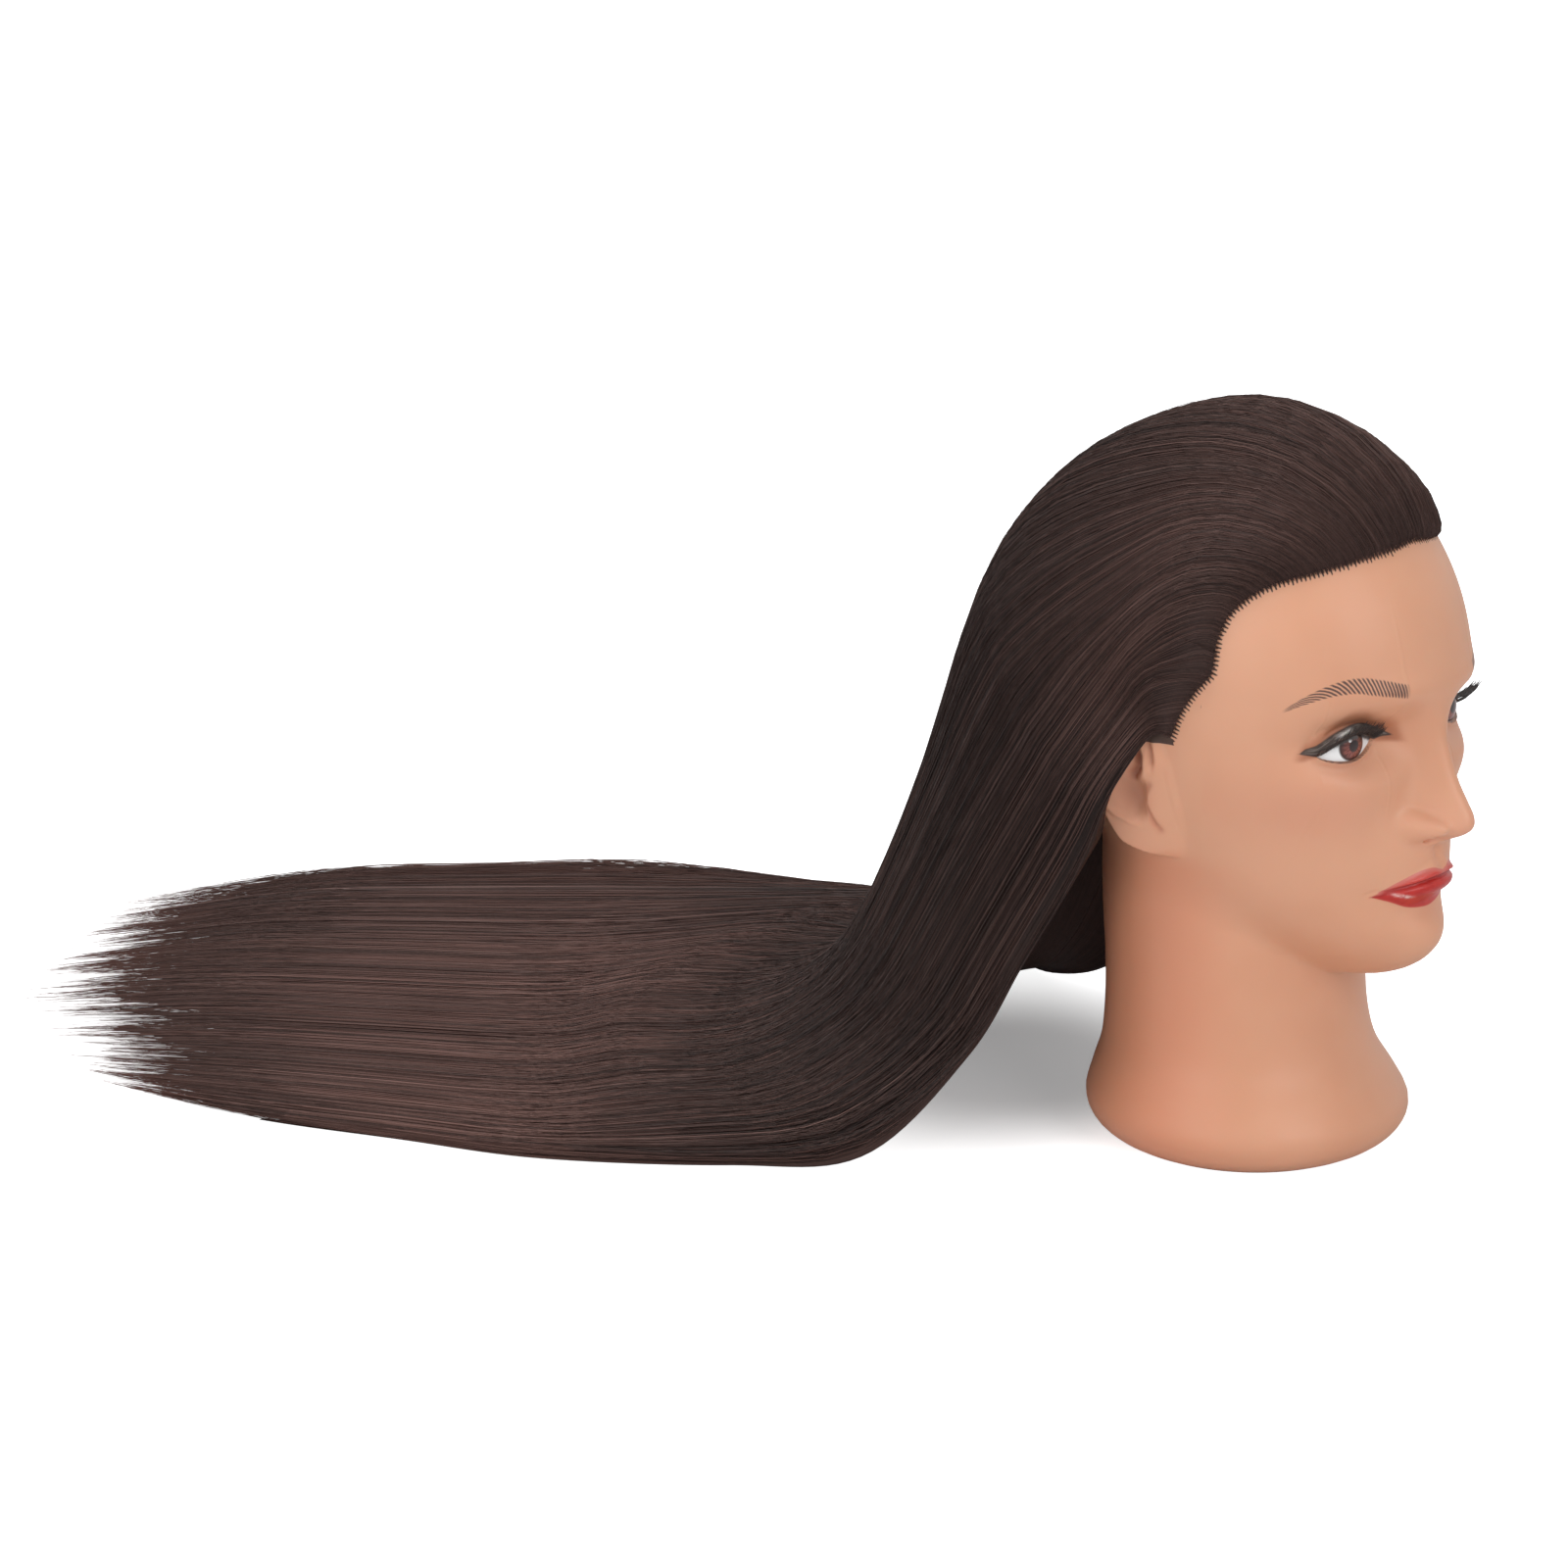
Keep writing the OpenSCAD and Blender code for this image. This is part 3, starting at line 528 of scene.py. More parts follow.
painted = {   # where, the number there (a distance from its edge in mm, or an amount), the number elsewhere
    "lip": (nearMouth, inLips, -9), "mouth": (ahead & (ax < 26), np.abs(above["lipsMeet"]), 9),
    "lipShine": (ahead, blot(ax - 16.5, 3.6, above["lipShine"], 0.55, 4), 0), "liner": (nearEye, inLiner, -9),
    "lidShine": (nearEye, blot(ax - 38.6, 3.4, above["linerTop"] + 1.4, 0.5, 4), 0),
    "lowerLiner": (ahead & (np.abs(lidT) < 1), lowerLiner, -9),
    "shadow": (nearEye, smoke * ease((ax - 8.5) / 8) * ease((56.5 - ax) / 7), 0),
    "underEye": (nearEye, blot(ax - 36, 13, pz - lidLower + 1.6, 2.2, 4), 0),
    "browP": (ahead, browP, -9), "browQ": (ahead, browQ, 9),
    "blush": (ahead, blot(ax - 47, 16, pz - 160, 15), 0), "nose": (ahead, blot(ax, 13, pz - 148, 9), 0),
    "earFold": (ax > 55, earFold, 0), "ear": (nearEar(py, pz, 24), earDepth(py, pz) / 14, 0),
}
paint = {name: np.where(*parts) for name, parts in painted.items()}
paint |= {"lipAbove": above["lipsMeet"], "acrossEye": ax,
          "linerAcross": np.clip(above["linerFoot"] / linerHigh, -1, 2),
          # painted shade: a darker, warmer tint low on the side and back of the neck
          "neckSide": ease((turned - 50) / 45) * ease((138 - pz) / 14)}
# distance from the hairline, and place along it
v = np.linspace(0, 1, 160)
edge = hairlineAt(v)
inward = unit(np.stack([0.12 * edge[:, 0] / 70, np.ones(160), (edge[:, 2] - 215) / 60 * (1 - v)], -1))
mirrored = np.stack([ax, py, pz], -1)
scalp, edgePlace = np.full(len(points), -30.0), np.zeros(len(points))
run = lengthAlong(edge)
forward = unit(np.gradient(edge, axis=0))
batch = 8000
for start in range(0, len(points), batch):
    part = mirrored[start:start + batch]
    gap = part[:, None] - edge[None]
    nearest = np.linalg.norm(gap, axis=-1).argmin(1)
    picked = gap[np.arange(len(part)), nearest]
    side = np.sign((picked * inward[nearest]).sum(-1))
    scalp[start:start + batch] = np.linalg.norm(picked, axis=-1) * side
    edgePlace[start:start + batch] = run[nearest] + (picked * forward[nearest]).sum(-1)
paint["edgePlace"] = edgePlace
paint["scalp"] = np.where(pz > 180, np.clip(scalp, -30, 30), -30)

vinyl, maker, shader = finish("paintedVinyl", Roughness=0.42, Coat_Roughness=0.08, Specular_IOR_Level=0.42,
                              Subsurface_Weight=0.2, Subsurface_Radius=(1.0, 0.3, 0.16),
                              Subsurface_Scale=0.006)
place = maker.place()
cloudy = maker.noise(place, 14.0, 3.0)
grain = maker.noise(place, 900.0, 2.0)
pores = maker.noise(place, 2600.0, 1.0)
tone = maker.blend(maker.ease(cloudy, 0.3, 0.7), (0.690, 0.338, 0.205), (0.735, 0.378, 0.237))
smoke = maker.value("shadow") * (0.75 + 0.5 * maker.noise(place, 160.0, 2.0))
tone = maker.layers(
    tone, (maker.value("blush") * 0.35, (0.70, 0.29, 0.19)), (maker.value("nose") * 0.3, (0.76, 0.36, 0.25)),
    (maker.ease(maker.value("ear"), 0.0, 0.9) * 0.25, (0.70, 0.30, 0.19)),
    # painted shade on the side and back of the neck
    (maker.value("neckSide") * 0.7, (0.69, 0.265, 0.150)),
    # painted shade in the ear's hollow and folds
    (maker.value("earFold") * 0.8, (0.46, 0.150, 0.085)),
    (maker.ease(smoke, 0.02, 0.95) * 0.85, (0.43, 0.150, 0.072)),
    (maker.ease(smoke, 0.8, 1.25) * 0.45, (0.17, 0.065, 0.042)),
    (maker.value("underEye") * 0.35, (0.46, 0.17, 0.10)))
# brow: fine strokes, steep near the nose and flatter outwards
browP, browQ = maker.value("browP"), maker.value("browQ")
warped = browP * (1.18 - 0.44 * browP)      # strokes stand closer towards the nose
lean = 0.010 + 0.055 * browP
strokeAt = warped - lean * browQ + 0.010 * maker.noise(place, 420.0, 2.0)
ragged = maker.cloud(strokeAt * 60.0, browQ * 0.4, 2.0)
begin = maker.ease(browP, -0.03, 0.03)
stroke = maker.ease(maker.saw(strokeAt * brow["strokes"]), 0.15, 0.31) * begin
stroke = stroke * maker.fade(browP, 0.93, 1.0)
inBrow = maker.fade(browQ * browQ, 0.55 + 0.5 * ragged, 1.25 + 0.5 * ragged)
blurred = maker.ease(browP, 0.0, 0.25, 0.62, 0.14) * maker.fade(browQ * browQ, 0.3, 1.1)
blurred = blurred * begin * maker.fade(browP, 0.85, 1.0)
tone = maker.layers(tone, (blurred * 0.75, (0.21, 0.105, 0.078)),
                    (stroke * inBrow * 0.92, (0.075, 0.042, 0.037)))
# lips, with a darker line where they meet
lip, mouth = maker.value("lip"), maker.value("mouth")
lips = maker.ease(lip, -0.15, 0.35)
lipTone = maker.blend(maker.ease(maker.noise(place, 260.0, 2.0), 0.3, 0.7), (0.46, 0.012, 0.008),
                      (0.54, 0.022, 0.014))
lipTone = maker.blend(maker.ease(lip, 0.0, 1.2), (0.55, 0.060, 0.044), lipTone)
upperTone = maker.blend(maker.ease(lip, 0.2, 2.4), (0.62, 0.17, 0.135), (0.58, 0.052, 0.038))
lipTone = maker.blend(maker.ease(maker.value("lipAbove"), -0.2, 0.4), lipTone, upperTone)
lipShine = maker.value("lipShine") * maker.ease(maker.noise(place, 700.0, 2.0), 0.3, 0.6, 0.25, 0.8)
lipTone = maker.blend(lipShine, lipTone, (0.95, 0.80, 0.76))
# liner on both lids, with a gleam on the upper one
liner = maker.value("liner")
# lash strokes across the liner band; their paler streaks are a painted sheen
lashBand = maker.cloud(maker.value("linerAcross") * 8.0, maker.value("acrossEye") * 0.3, 2.0)
linerTone = maker.blend(maker.ease(lashBand, 0.42, 0.72), (0.035, 0.029, 0.026), (0.190, 0.165, 0.145))
linerTone = maker.blend(maker.ease(liner, 0.0, 0.9, 0.9, 0.0), linerTone, (0.020, 0.014, 0.013))
gleam = maker.value("lidShine") * (0.7 + 0.5 * maker.noise(place, 1500.0, 1.0))
tone = maker.layers(
    tone, (lips, lipTone), (maker.ease(mouth, 0.1, 1.1, 0.62, 0.0) * maker.ease(lip, -0.6, 0.2),
                            (0.32, 0.010, 0.008)),
    (maker.ease(liner, -0.3, 0.3) * 0.94, linerTone), (gleam, (0.84, 0.82, 0.79)),
    (maker.ease(maker.value("lowerLiner"), -0.3, 0.2) * 0.8, (0.040, 0.022, 0.020)))
# dark scalp, painted in the hair's colour and as shade under the hair, and one row of root plugs along the
# hairline
plugSpacing = 1.7
plugRow = maker.ease(maker.saw(maker.value("edgePlace") / plugSpacing), 0.14, 0.36)
plugRow = plugRow * (0.6 + maker.noise(place, 600.0, 1.0))
scalpEdge = maker.ease(maker.value("scalp") + 2.5 * plugRow + 0.6 * maker.noise(place, 900.0, 1.0), 1.0, 1.7)
tone = maker.blend(scalpEdge * 0.93, tone, (0.028, 0.017, 0.015))
lipGrain = 0.8 * lips * maker.noise(maker.spot(maker.value("lip") * 0.2, 0.0), 1.0)
feed(maker, shader, Base_Color=tone, Coat_Weight=lips * 0.12,
     Roughness=0.40 + 0.06 * cloudy - 0.04 * lips + 0.2 * scalpEdge + 0.06 * maker.value("shadow"),
     Normal=maker.bump(0.6 * grain + 0.4 * pores + lipGrain, 0.10, 0.0004))
vinylSkin = meshFrom("vinylFace", points, [gridFaces(rows, columns, wrap=True), cap], vinyl, paint)
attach(vinylSkin, "root")
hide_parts("vinyl_skin")
print("face moulded:", len(vinylSkin.data.polygons) * 2, "triangles")

# painted eyes under a clear coat
eyes = {"gazeX": 35.0, "gazeZ": 183.3, "wall": 1.6, "irisOut": 0.55, "irisHalf": 6.4, "under": 0.9,
        "glintRight": (-36.9, 185.8), "glintLeft": (32.3, 185.8), "rows": 34, "columns": 60}
eyePaint, maker, shader = finish("paintedEye", Roughness=0.2, Specular_IOR_Level=0.35, Coat_Weight=0.3,
                                 Coat_Roughness=0.03)
radius, spin = maker.value("irisRadius"), maker.value("irisTurn")
fibre = maker.cloud(spin * 5.5, radius * 0.35, 3.0, 0.6)
iris = maker.layers(
    maker.blend(maker.ease(fibre, 0.3, 0.7), (0.10, 0.020, 0.015), (0.36, 0.105, 0.080)),
    (maker.ease(radius, 3.6, 5.6), (0.05, 0.016, 0.012)),
    # painted shade: the top of the iris darker, as under the upper lid and lashes
    (maker.ease(maker.value("upInIris"), -1.5, 3.5) * 0.75, (0.035, 0.018, 0.017)),
    (maker.ease(radius, 1.9, 2.7, 0.9, 0.0), (0.010, 0.008, 0.009)),
    (maker.fade(maker.value("glint"), 0.55, 0.95), (0.95, 0.95, 0.95)))
lidGap = maker.value("lidGap")
white = maker.blend(maker.value("corner"), (0.95, 0.945, 0.94), (0.70, 0.36, 0.31))
# painted shade of the upper lid and lashes on the white of the eye
white = maker.blend(maker.ease(lidGap, 1.2, 4.2, 0.3, 0.0), white, (0.32, 0.29, 0.28))
lashShade = maker.cloud(maker.value("acrossEye") * 26.0, 0.3 * lidGap, 2.0)
lashRoot = lidGap + 1.7 * (lashShade - 0.5)
feed(maker, shader, Base_Color=maker.layers(
    maker.blend(maker.ease(radius, 5.5, 6.3), iris, white),
    (maker.ease(lashRoot, 1.0, 2.3, 0.93, 0.0), (0.035, 0.028, 0.026)),
    (maker.ease(maker.value("lowGap"), 0.0, 0.4, 0.8, 0.0), (0.05, 0.03, 0.028))))
for side, node, glint in ((-1, "eye_right", eyes["glintRight"]), (1, "eye_left", eyes["glintLeft"])):
    across = np.linspace(-1.07, 1.07, eyes["columns"])
    x = face["lidX"] + across * face["lidHalf"]
    t, upper, lower = lidLines(x)
    f = np.linspace(0, 1, eyes["rows"])[:, None]
    z = (lower - eyes["under"]) + (upper - lower + 2 * eyes["under"]) * f
    x, t = x + 0 * z, t + 0 * z
    depth = eyeSurface(x, z, features(x, z, bareDepth(x, z)))
    radial = np.hypot((x - eyes["gazeX"]) / 1.1, z - eyes["gazeZ"])
    depth = depth + eyes["irisOut"] * np.exp(-(radial / eyes["irisHalf"]) ** 4)
    outerWall, innerWall = [np.stack([side * x, -(depth - back), z], -1) for back in (0, eyes["wall"])]
    eye = slab("painted" + titled(node), outerWall, innerWall, eyePaint, {
        "irisRadius": radial, "irisTurn": np.arctan2(z - eyes["gazeZ"], x - eyes["gazeX"]),
        "upInIris": z - eyes["gazeZ"], "acrossEye": t, "lowGap": z - lower, "lidGap": upper - z,
        "corner": ease((-t - 0.86) / 0.2),
        "glint": np.hypot(side * x - glint[0], (z - glint[1]) * 1.1) / 1.05}, flip=side < 0)
    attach(eye, "root")
    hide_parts(node)
print("eyes made")

# strands that follow a guide sheet: hair and lashes
tree = bpy.data.node_groups.new("strandsOnSheet", "GeometryNodeTree")
strandSettings = {   # the hair's own; other strands name what differs
    "strands": 1100, "steps": 30, "thickness": 0.00013, "rootLow": 0.0, "rootHigh": 0.012, "lateRoots": 0.4,
    "tipLow": 0.92, "tipHigh": 1.0, "deep": 0.3, "proud": 0.0007, "wander": 0.022, "frizz": 0.0003,
    "locks": 24.0, "lockPull": 0.3, "pullFrom": 0.86, "plugs": 34.0, "plugPull": 0.85, "plugTo": 0.03,
    "spread": 1.03, "seed": 1,
}
strandInputs = {"sheet": "Geometry"} | {
    name: "Int" if isinstance(usual, int) else "Float" for name, usual in strandSettings.items()
} | {"finish": "Material"}
for name, kind in strandInputs.items():
    socket = tree.interface.new_socket(name, in_out="INPUT", socket_type="NodeSocket" + kind)
    if name in strandSettings:
        socket.default_value = strandSettings[name]
tree.interface.new_socket("made", in_out="OUTPUT", socket_type="NodeSocketGeometry")
maker = Maker(tree)
entry = tree.nodes.new("NodeGroupInput")
given = {name: Wire(maker, entry.outputs[name]) for name in strandInputs}


def chance(salt, low=0.0, high=1.0, number=None):   # one random number for each strand or lock
    return maker.node("FunctionNodeRandomValue", {"data_type": "FLOAT"},
                      {2: low, 3: high, 7: strandNumber if number is None else number,
                       8: given["seed"] + float(salt)}, out=1)


def rounded(value):
    return maker.node("ShaderNodeMath", {"operation": "FLOOR"}, {0: value})


def onSheet(name, spot):   # a vector of the guide sheet at (across, along)
    vector = {"data_type": "FLOAT_VECTOR"}
    stored, flow = [maker.node("GeometryNodeInputNamedAttribute", vector, {"Name": key})
                    for key in (name, "flow")]
    return maker.node("GeometryNodeSampleUVSurface", vector,
                      {0: given["sheet"], 1: stored, 2: flow, 3: spot})


def vectors(operation, a, b=None, scale=None):
    inputs = {0: a} | ({1: b} if b is not None else {}) | ({3: scale} if scale is not None else {})
    return maker.node("ShaderNodeVectorMath", {"operation": operation}, inputs)


line = maker.node("GeometryNodeResampleCurve", {"mode": "COUNT"},
                  {0: maker.node("GeometryNodeCurvePrimitiveLine"), 2: given["steps"]})
copies = maker.tree.nodes.new("GeometryNodeDuplicateElements")
copies.domain = "SPLINE"
tree.links.new(line.socket, copies.inputs["Geometry"])
tree.links.new(given["strands"].socket, copies.inputs["Amount"])
strandNumber = Wire(maker, copies.outputs["Duplicate Index"])
along = maker.node("GeometryNodeSplineParameter")
start = (strandNumber + chance(1)) / given["strands"]
late = maker.ease(chance(2), 1.0 - given["lateRoots"], 1.001 - given["lateRoots"])
root = given["rootLow"] + (given["rootHigh"] - given["rootLow"]) * chance(3) + late * chance(4, 0.03, 0.55)
uneven = maker.cloud(start * given["locks"] * 0.6, given["seed"] * 3.7)
lock = rounded(start * given["locks"] + 0.9 * uneven)
lockMiddle = (lock + 0.1) / given["locks"]
lockChance = chance(5, 0.0, 1.0, lock)
tip = given["tipLow"] + (given["tipHigh"] - given["tipLow"]) * (0.45 * lockChance + 0.55 * chance(6))
v = root + (tip - root) * along
pull = given["lockPull"] * maker.ease(v, given["pullFrom"], 1.0)
across = start + (lockMiddle - start) * pull
plug = (rounded(start * given["plugs"]) + 0.5) / given["plugs"]
across = across + (plug - across) * given["plugPull"] * maker.fade(v, 0.0, given["plugTo"])
broad = maker.cloud(start * 5.0 + given["seed"] * 1.7, v * 3.0) - 0.5
own = maker.cloud(chance(7, 0.0, 90.0), v * 7.0, 2.0) - 0.5
across = across + given["wander"] * (broad + 0.8 * own) * maker.ease(v, 0.02, 0.2)
across = 0.5 + (across - 0.5) * given["spread"]
across = maker.node("ShaderNodeClamp", {}, {0: across, 1: 0.001, 2: 0.999})
spot = maker.spot(across, v)
sunk = maker.fade(along, 0.0, 0.06) * late * 0.25
depth = given["deep"] * chance(8) ** 1.6 + sunk
lift = given["proud"] * chance(9) * maker.ease(v, 0.0, 0.04) * maker.ease(along, 0.0, 0.05)
flyaway = maker.cloud(chance(10, 0.0, 90.0), v * 16.0, 2.0) - 0.5
lift = lift + given["frizz"] * flyaway * maker.ease(v, 0.03, 0.3)
where = vectors("ADD", onSheet("spot", spot), vectors("SCALE", onSheet("inset", spot), scale=depth))
where = vectors("ADD", where, vectors("SCALE", onSheet("outward", spot), scale=lift))
placed = maker.node("GeometryNodeSetPosition", {}, {0: Wire(maker, copies.outputs["Geometry"]), 2: where})
streaks = maker.cloud(start * 30.0, v * 1.2, z=given["seed"] * 1.0)
toneField = 0.06 + 0.64 * chance(11) + 0.1 * lockChance + 0.24 * streaks
for name, stored in (("tone", toneField), ("along", v)):
    placed = maker.node("GeometryNodeStoreNamedAttribute", {"data_type": "FLOAT", "domain": "POINT"},
                        {0: placed, 2: name, 3: stored})
taper = maker.ease(along, 0.0, 0.06, 0.35, 1.0) * maker.ease(along, 0.86, 1.0, 1.0, 0.3)
ring = maker.node("GeometryNodeCurvePrimitiveCircle", {"mode": "RADIUS"}, {"Resolution": 3, "Radius": 1.0})
tubes = maker.node("GeometryNodeCurveToMesh", {},
                   {0: placed, 1: ring, 2: given["thickness"] * taper * chance(12, 0.7, 1.25)})
tubes = maker.node("GeometryNodeRealizeInstances", {}, {0: tubes})
tubes = maker.node("GeometryNodeSetMaterial", {}, {0: tubes, 2: given["finish"]})
exitNode = tree.nodes.new("NodeGroupOutput")
tree.links.new(tubes.socket, exitNode.inputs[0])
socketNames = {item.name: item.identifier for item in tree.interface.items_tree if item.in_out == "INPUT"}


def growStrands(name, outer, inner, flowV, settings, material):   # grids in mm, with rows along the strands
    rows, columns = outer.shape[:2]
    flow = np.stack([np.linspace(0, 1, columns) + 0 * flowV[:, None], flowV[:, None] + np.zeros(columns),
                     np.zeros((rows, columns))], -1)
    inset = (inner - outer) / 1000
    along, across = np.gradient(outer, axis=0), np.gradient(outer, axis=1)
    outward = unit(np.cross(across, along) + 1e-9)
    outward = outward * np.sign((outward * (outer - inner)).sum(-1, keepdims=True) + 1e-9)
    sheet = meshFrom(name + "Guide", outer, [gridFaces(rows, columns)], material,
                     {"flow": flow, "inset": inset, "outward": outward, "spot": outer / 1000})
    modifier = sheet.modifiers.new("strands", "NODES")
    modifier.node_group = tree
    for key, value in {**settings, "finish": material}.items():
        modifier[socketNames[key]] = value
    evaluated = sheet.evaluated_get(bpy.context.evaluated_depsgraph_get())
    made = bpy.data.objects.new(name, bpy.data.meshes.new_from_object(evaluated))
    scene.collection.objects.link(made)
    bpy.data.objects.remove(sheet)
    made.data.name = name
    made.data.polygons.foreach_set("use_smooth", np.ones(len(made.data.polygons), bool))
    return made


# lashes
lashLong = 12.6
lashes = {"strands": 150, "steps": 7, "thickness": 0.00011, "rootHigh": 0.01, "lateRoots": 0.0,
          "tipLow": 0.55, "deep": 1.0, "proud": 0.0, "wander": 0.12, "frizz": 0.0, "locks": 30.0,
          "lockPull": 0.4, "pullFrom": 0.1, "plugPull": 0.0, "spread": 1.0}
lashFibre, maker, shader = finish("lashFibre", Roughness=0.45)
feed(maker, shader, Base_Color=maker.blend(maker.ease(maker.value("tone"), 0.2, 0.9), (0.008, 0.007, 0.007),
                                           (0.034, 0.027, 0.025)))
for side, node in ((-1, "lash_right"), (1, "lash_left")):
    f = np.linspace(0, 1, 12)[:, None]
    t = np.linspace(-1.0, 1.08, 40)
    x = face["lidX"] + t * face["lidHalf"]
    _, upper, _ = lidLines(x)
    edgeZ = upper + 0.25
    depth = lidSurface(x, edgeZ, features(x, edgeZ, bareDepth(x, edgeZ)))
    length = lashLong * (0.78 + 0.22 * t)
    outer = np.stack([side * (x + length * f * 0.36 * (t + 0.25)), -depth - 0.1 - length * f * 0.82,
                      edgeZ + length * f * (0.25 + 0.62 * f)], -1)
    lashPiece = growStrands("lashUpper", outer, outer + np.array([0, 0, -0.3]), f[:, 0],
                            {**lashes, "seed": 12 + side * 3}, lashFibre)
    lashPiece.name = "lashes" + titled(node).replace("Lash", "")
    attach(lashPiece, "root")
    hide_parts(node)
print("lashes grown")

# hair
hair = {
    "lift": [(0, 2.2), (0.03, 4.4), (0.1, 6.9), (0.22, 6.8), (0.36, 6.1), (0.5, 5.6), (0.64, 9.9),
             (0.8, 17.5), (1, 36)],   # how far it stands off the head, from the hairline to behind it
    "over": (0, 0.03, 0.1, 0.22, 0.36, 0.5, 0.64, 0.78, 0.9, 1), "layer": 17.0,
    "edgeDown": 6.2, "edgeAhead": 0.33, "gather": (0.57, 0.78, 1.02, 1, 1, 1),
    "fall": [   # right edge, middle and left edge of the layer behind the head
        ((-84, 18, 139.7), (-2, 113, 218), (78, 26, 153)),
        ((-76, 27, 123.6), (-4, 138, 152.6), (77, 46, 113)),
        ((-84, 53.6, 78.6), (-8, 153.7, 93), (84, 84, 66)),
        ((-104.7, 63, 46.6), (-12, 182, 52), (94, 124, 27)),
        ((-142.6, 85.7, 17.8), (-22, 212, 35.5), (104, 168, 9)),
        ((-169, 129, 6.6), (-46, 249, 35), (106, 230, 17))],
    "innerRows": [   # towards the head: how far in, layers deep, how much lower at right, middle, left
        (6, 1.15, 0, 4, 0), (6, 1.2, 0, 5, 0), (6, 1.35, 1, 8, 2),
        (6, 1.5, 4, 16, 5), (6, 1.85, 12, 26, 7), (0, 0.5, 0, 0, 0)],
    "tailFrom": (-24.4, 188, 0), "sweep": 27.0, "tail": 360.0, "tailHalf": 150.0, "shorter": (81, 4),
    "tailRows": [   # how far along, width to the right and to the left, height
        (0.33, 1.09, 1.04, 27), (0.55, 1.04, 0.98, 23), (0.78, 0.98, 0.89, 18), (1, 0.85, 0.74, 4.5)],
    "tableGap": 0.5,
    "clearFrom": 100, "clearTo": 283, "headGap": (2.4, 1, 0.1),   # keeps outer, inner and front off the head
    "drift": 0.41, "driftBack": 0.06,   # how far strands wander over to the right edge, and back
    "sheetRows": 180, "sheetColumns": 31, "sheetFrom": 0.008, "sheetTo": 0.98, "sheetBow": 0.05,
    "outerLow": 0.6, "notch": 0.26, "grainAcross": 130,
    "guideRows": 121, "guideColumns": 31, "guideLow": (1.2, 0.8), "lowRows": 30, "wisps": 17 / 11,
}
centre = np.array([0, 0, head["level"]])


def shellRadius(d):   # how far the plain head reaches in a direction
    n = head["roundness"]
    depth = np.where(d[..., 1] < 0, head["front"], head["back"])
    return (np.hypot(d[..., 0] / head["halfWidth"], d[..., 1] / depth) ** n
            + np.abs(d[..., 2] / head["height"]) ** n) ** (-1 / n)


def fallAt(edges, u, gather):   # one arch of the layer, from edge to edge over its middle
    right, (x, y, z), left = np.array(edges, float)
    edge = np.where((u < 0)[:, None], right, left)
    s = (np.sin(np.radians(82) * np.abs(u)) / np.sin(np.radians(82))) ** gather
    c = np.maximum(np.cos(np.pi / 2 * np.abs(u)), 0) ** 0.58
    return np.stack([x + (edge[:, 0] - x) * s, edge[:, 1] + (y - edge[:, 1]) * c,
                     z + (edge[:, 2] - z) * (1 - c)], -1)


def innerFall():   # the layer's side towards the head, whose last row lies on the table
    rows = []
    for edges, (inward, layers, *lower) in zip(hair["fall"], hair["innerRows"]):
        moves = (inward, 4), (0, -layers * hair["layer"]), (-inward, 3)
        rows.append([(x + dx, y + dy, max(z - dz, 1))
                     for (x, y, z), (dx, dy), dz in zip(edges, moves, lower)])
    rows[-1] = [(x, y, hair["tableGap"]) for x, y, z in rows[-1]]
    return rows


def combed(s, d0, d1, d2):   # direction over the head: d0 at the hairline (0), d1 at 0.45, d2 behind it (1)
    return unit((s - 0.45) * (s - 1) / 0.45 * d0 - s * (s - 1) / 0.2475 * d1 + s * (s - 0.45) / 0.55 * d2)


def keyPoints(u, inner):   # what the strands pass on their way from the hairline to the tips
    v, g = np.abs(u), np.sign(u)
    root = hairlineAt(v, g)
    d0 = unit(root - centre)
    bend = np.radians(101 * v**0.92 + hair["edgeDown"] * v**8)
    crown = 0.105 + 0.212 * v * v - hair["edgeAhead"] * v**8
    d1 = unit(np.stack([g * np.sin(bend), crown, np.cos(bend)], -1))
    e = fallAt(hair["fall"][0], u, hair["gather"][0]) - centre
    d2 = unit(e)
    reach = np.linalg.norm(e, axis=-1) - shellRadius(d2)
    keys = []
    for s in hair["over"]:
        d = combed(s, d0, d1, d2)
        w = ease((s - 0.39) / 0.61)
        out = curveAt(s, hair["lift"]) * (1 - 0.2 * v * v) * (1 - w) + reach * w
        out = 0.9 + np.maximum(out - hair["layer"], 0) if inner else out
        keys.append(centre + d * (shellRadius(d) + out)[:, None])
    layer = innerFall() if inner else hair["fall"]
    keys += [fallAt(edges, u, gather) for edges, gather in zip(layer[1:], hair["gather"][1:])]
    sweep = math.radians(hair["sweep"])
    back = np.array([-math.sin(sweep), math.cos(sweep), 0])
    side = np.array([math.cos(sweep), math.sin(sweep), 0])
    long = hair["tail"] - np.where(u < 0, *hair["shorter"]) * v * v
    for f, right, left, high in hair["tailRows"]:
        width = hair["tailHalf"] * np.where(u < 0, right, left)
        high = hair["tableGap"] + 0 * u if inner else high * (1 - np.where(u < 0, 0.75, 0.15) * v**3)
        keys.append(np.array(hair["tailFrom"]) + back * (long * f)[:, None] + side * (width * u)[:, None]
                    + np.stack([0 * u, 0 * u, high], -1))
    keys = np.stack(keys, 1)
    for _ in range(2):                      # an even turn from the crown into the fall
        keys[:, 6:12] = (keys[:, 5:11] + 2 * keys[:, 6:12] + keys[:, 7:13]) / 4
    front = combed(-0.004, d0, d1, d2)      # a little ahead of the hairline, on the skin
    return keys, centre + front * (shellRadius(front) + 0.15)[:, None]


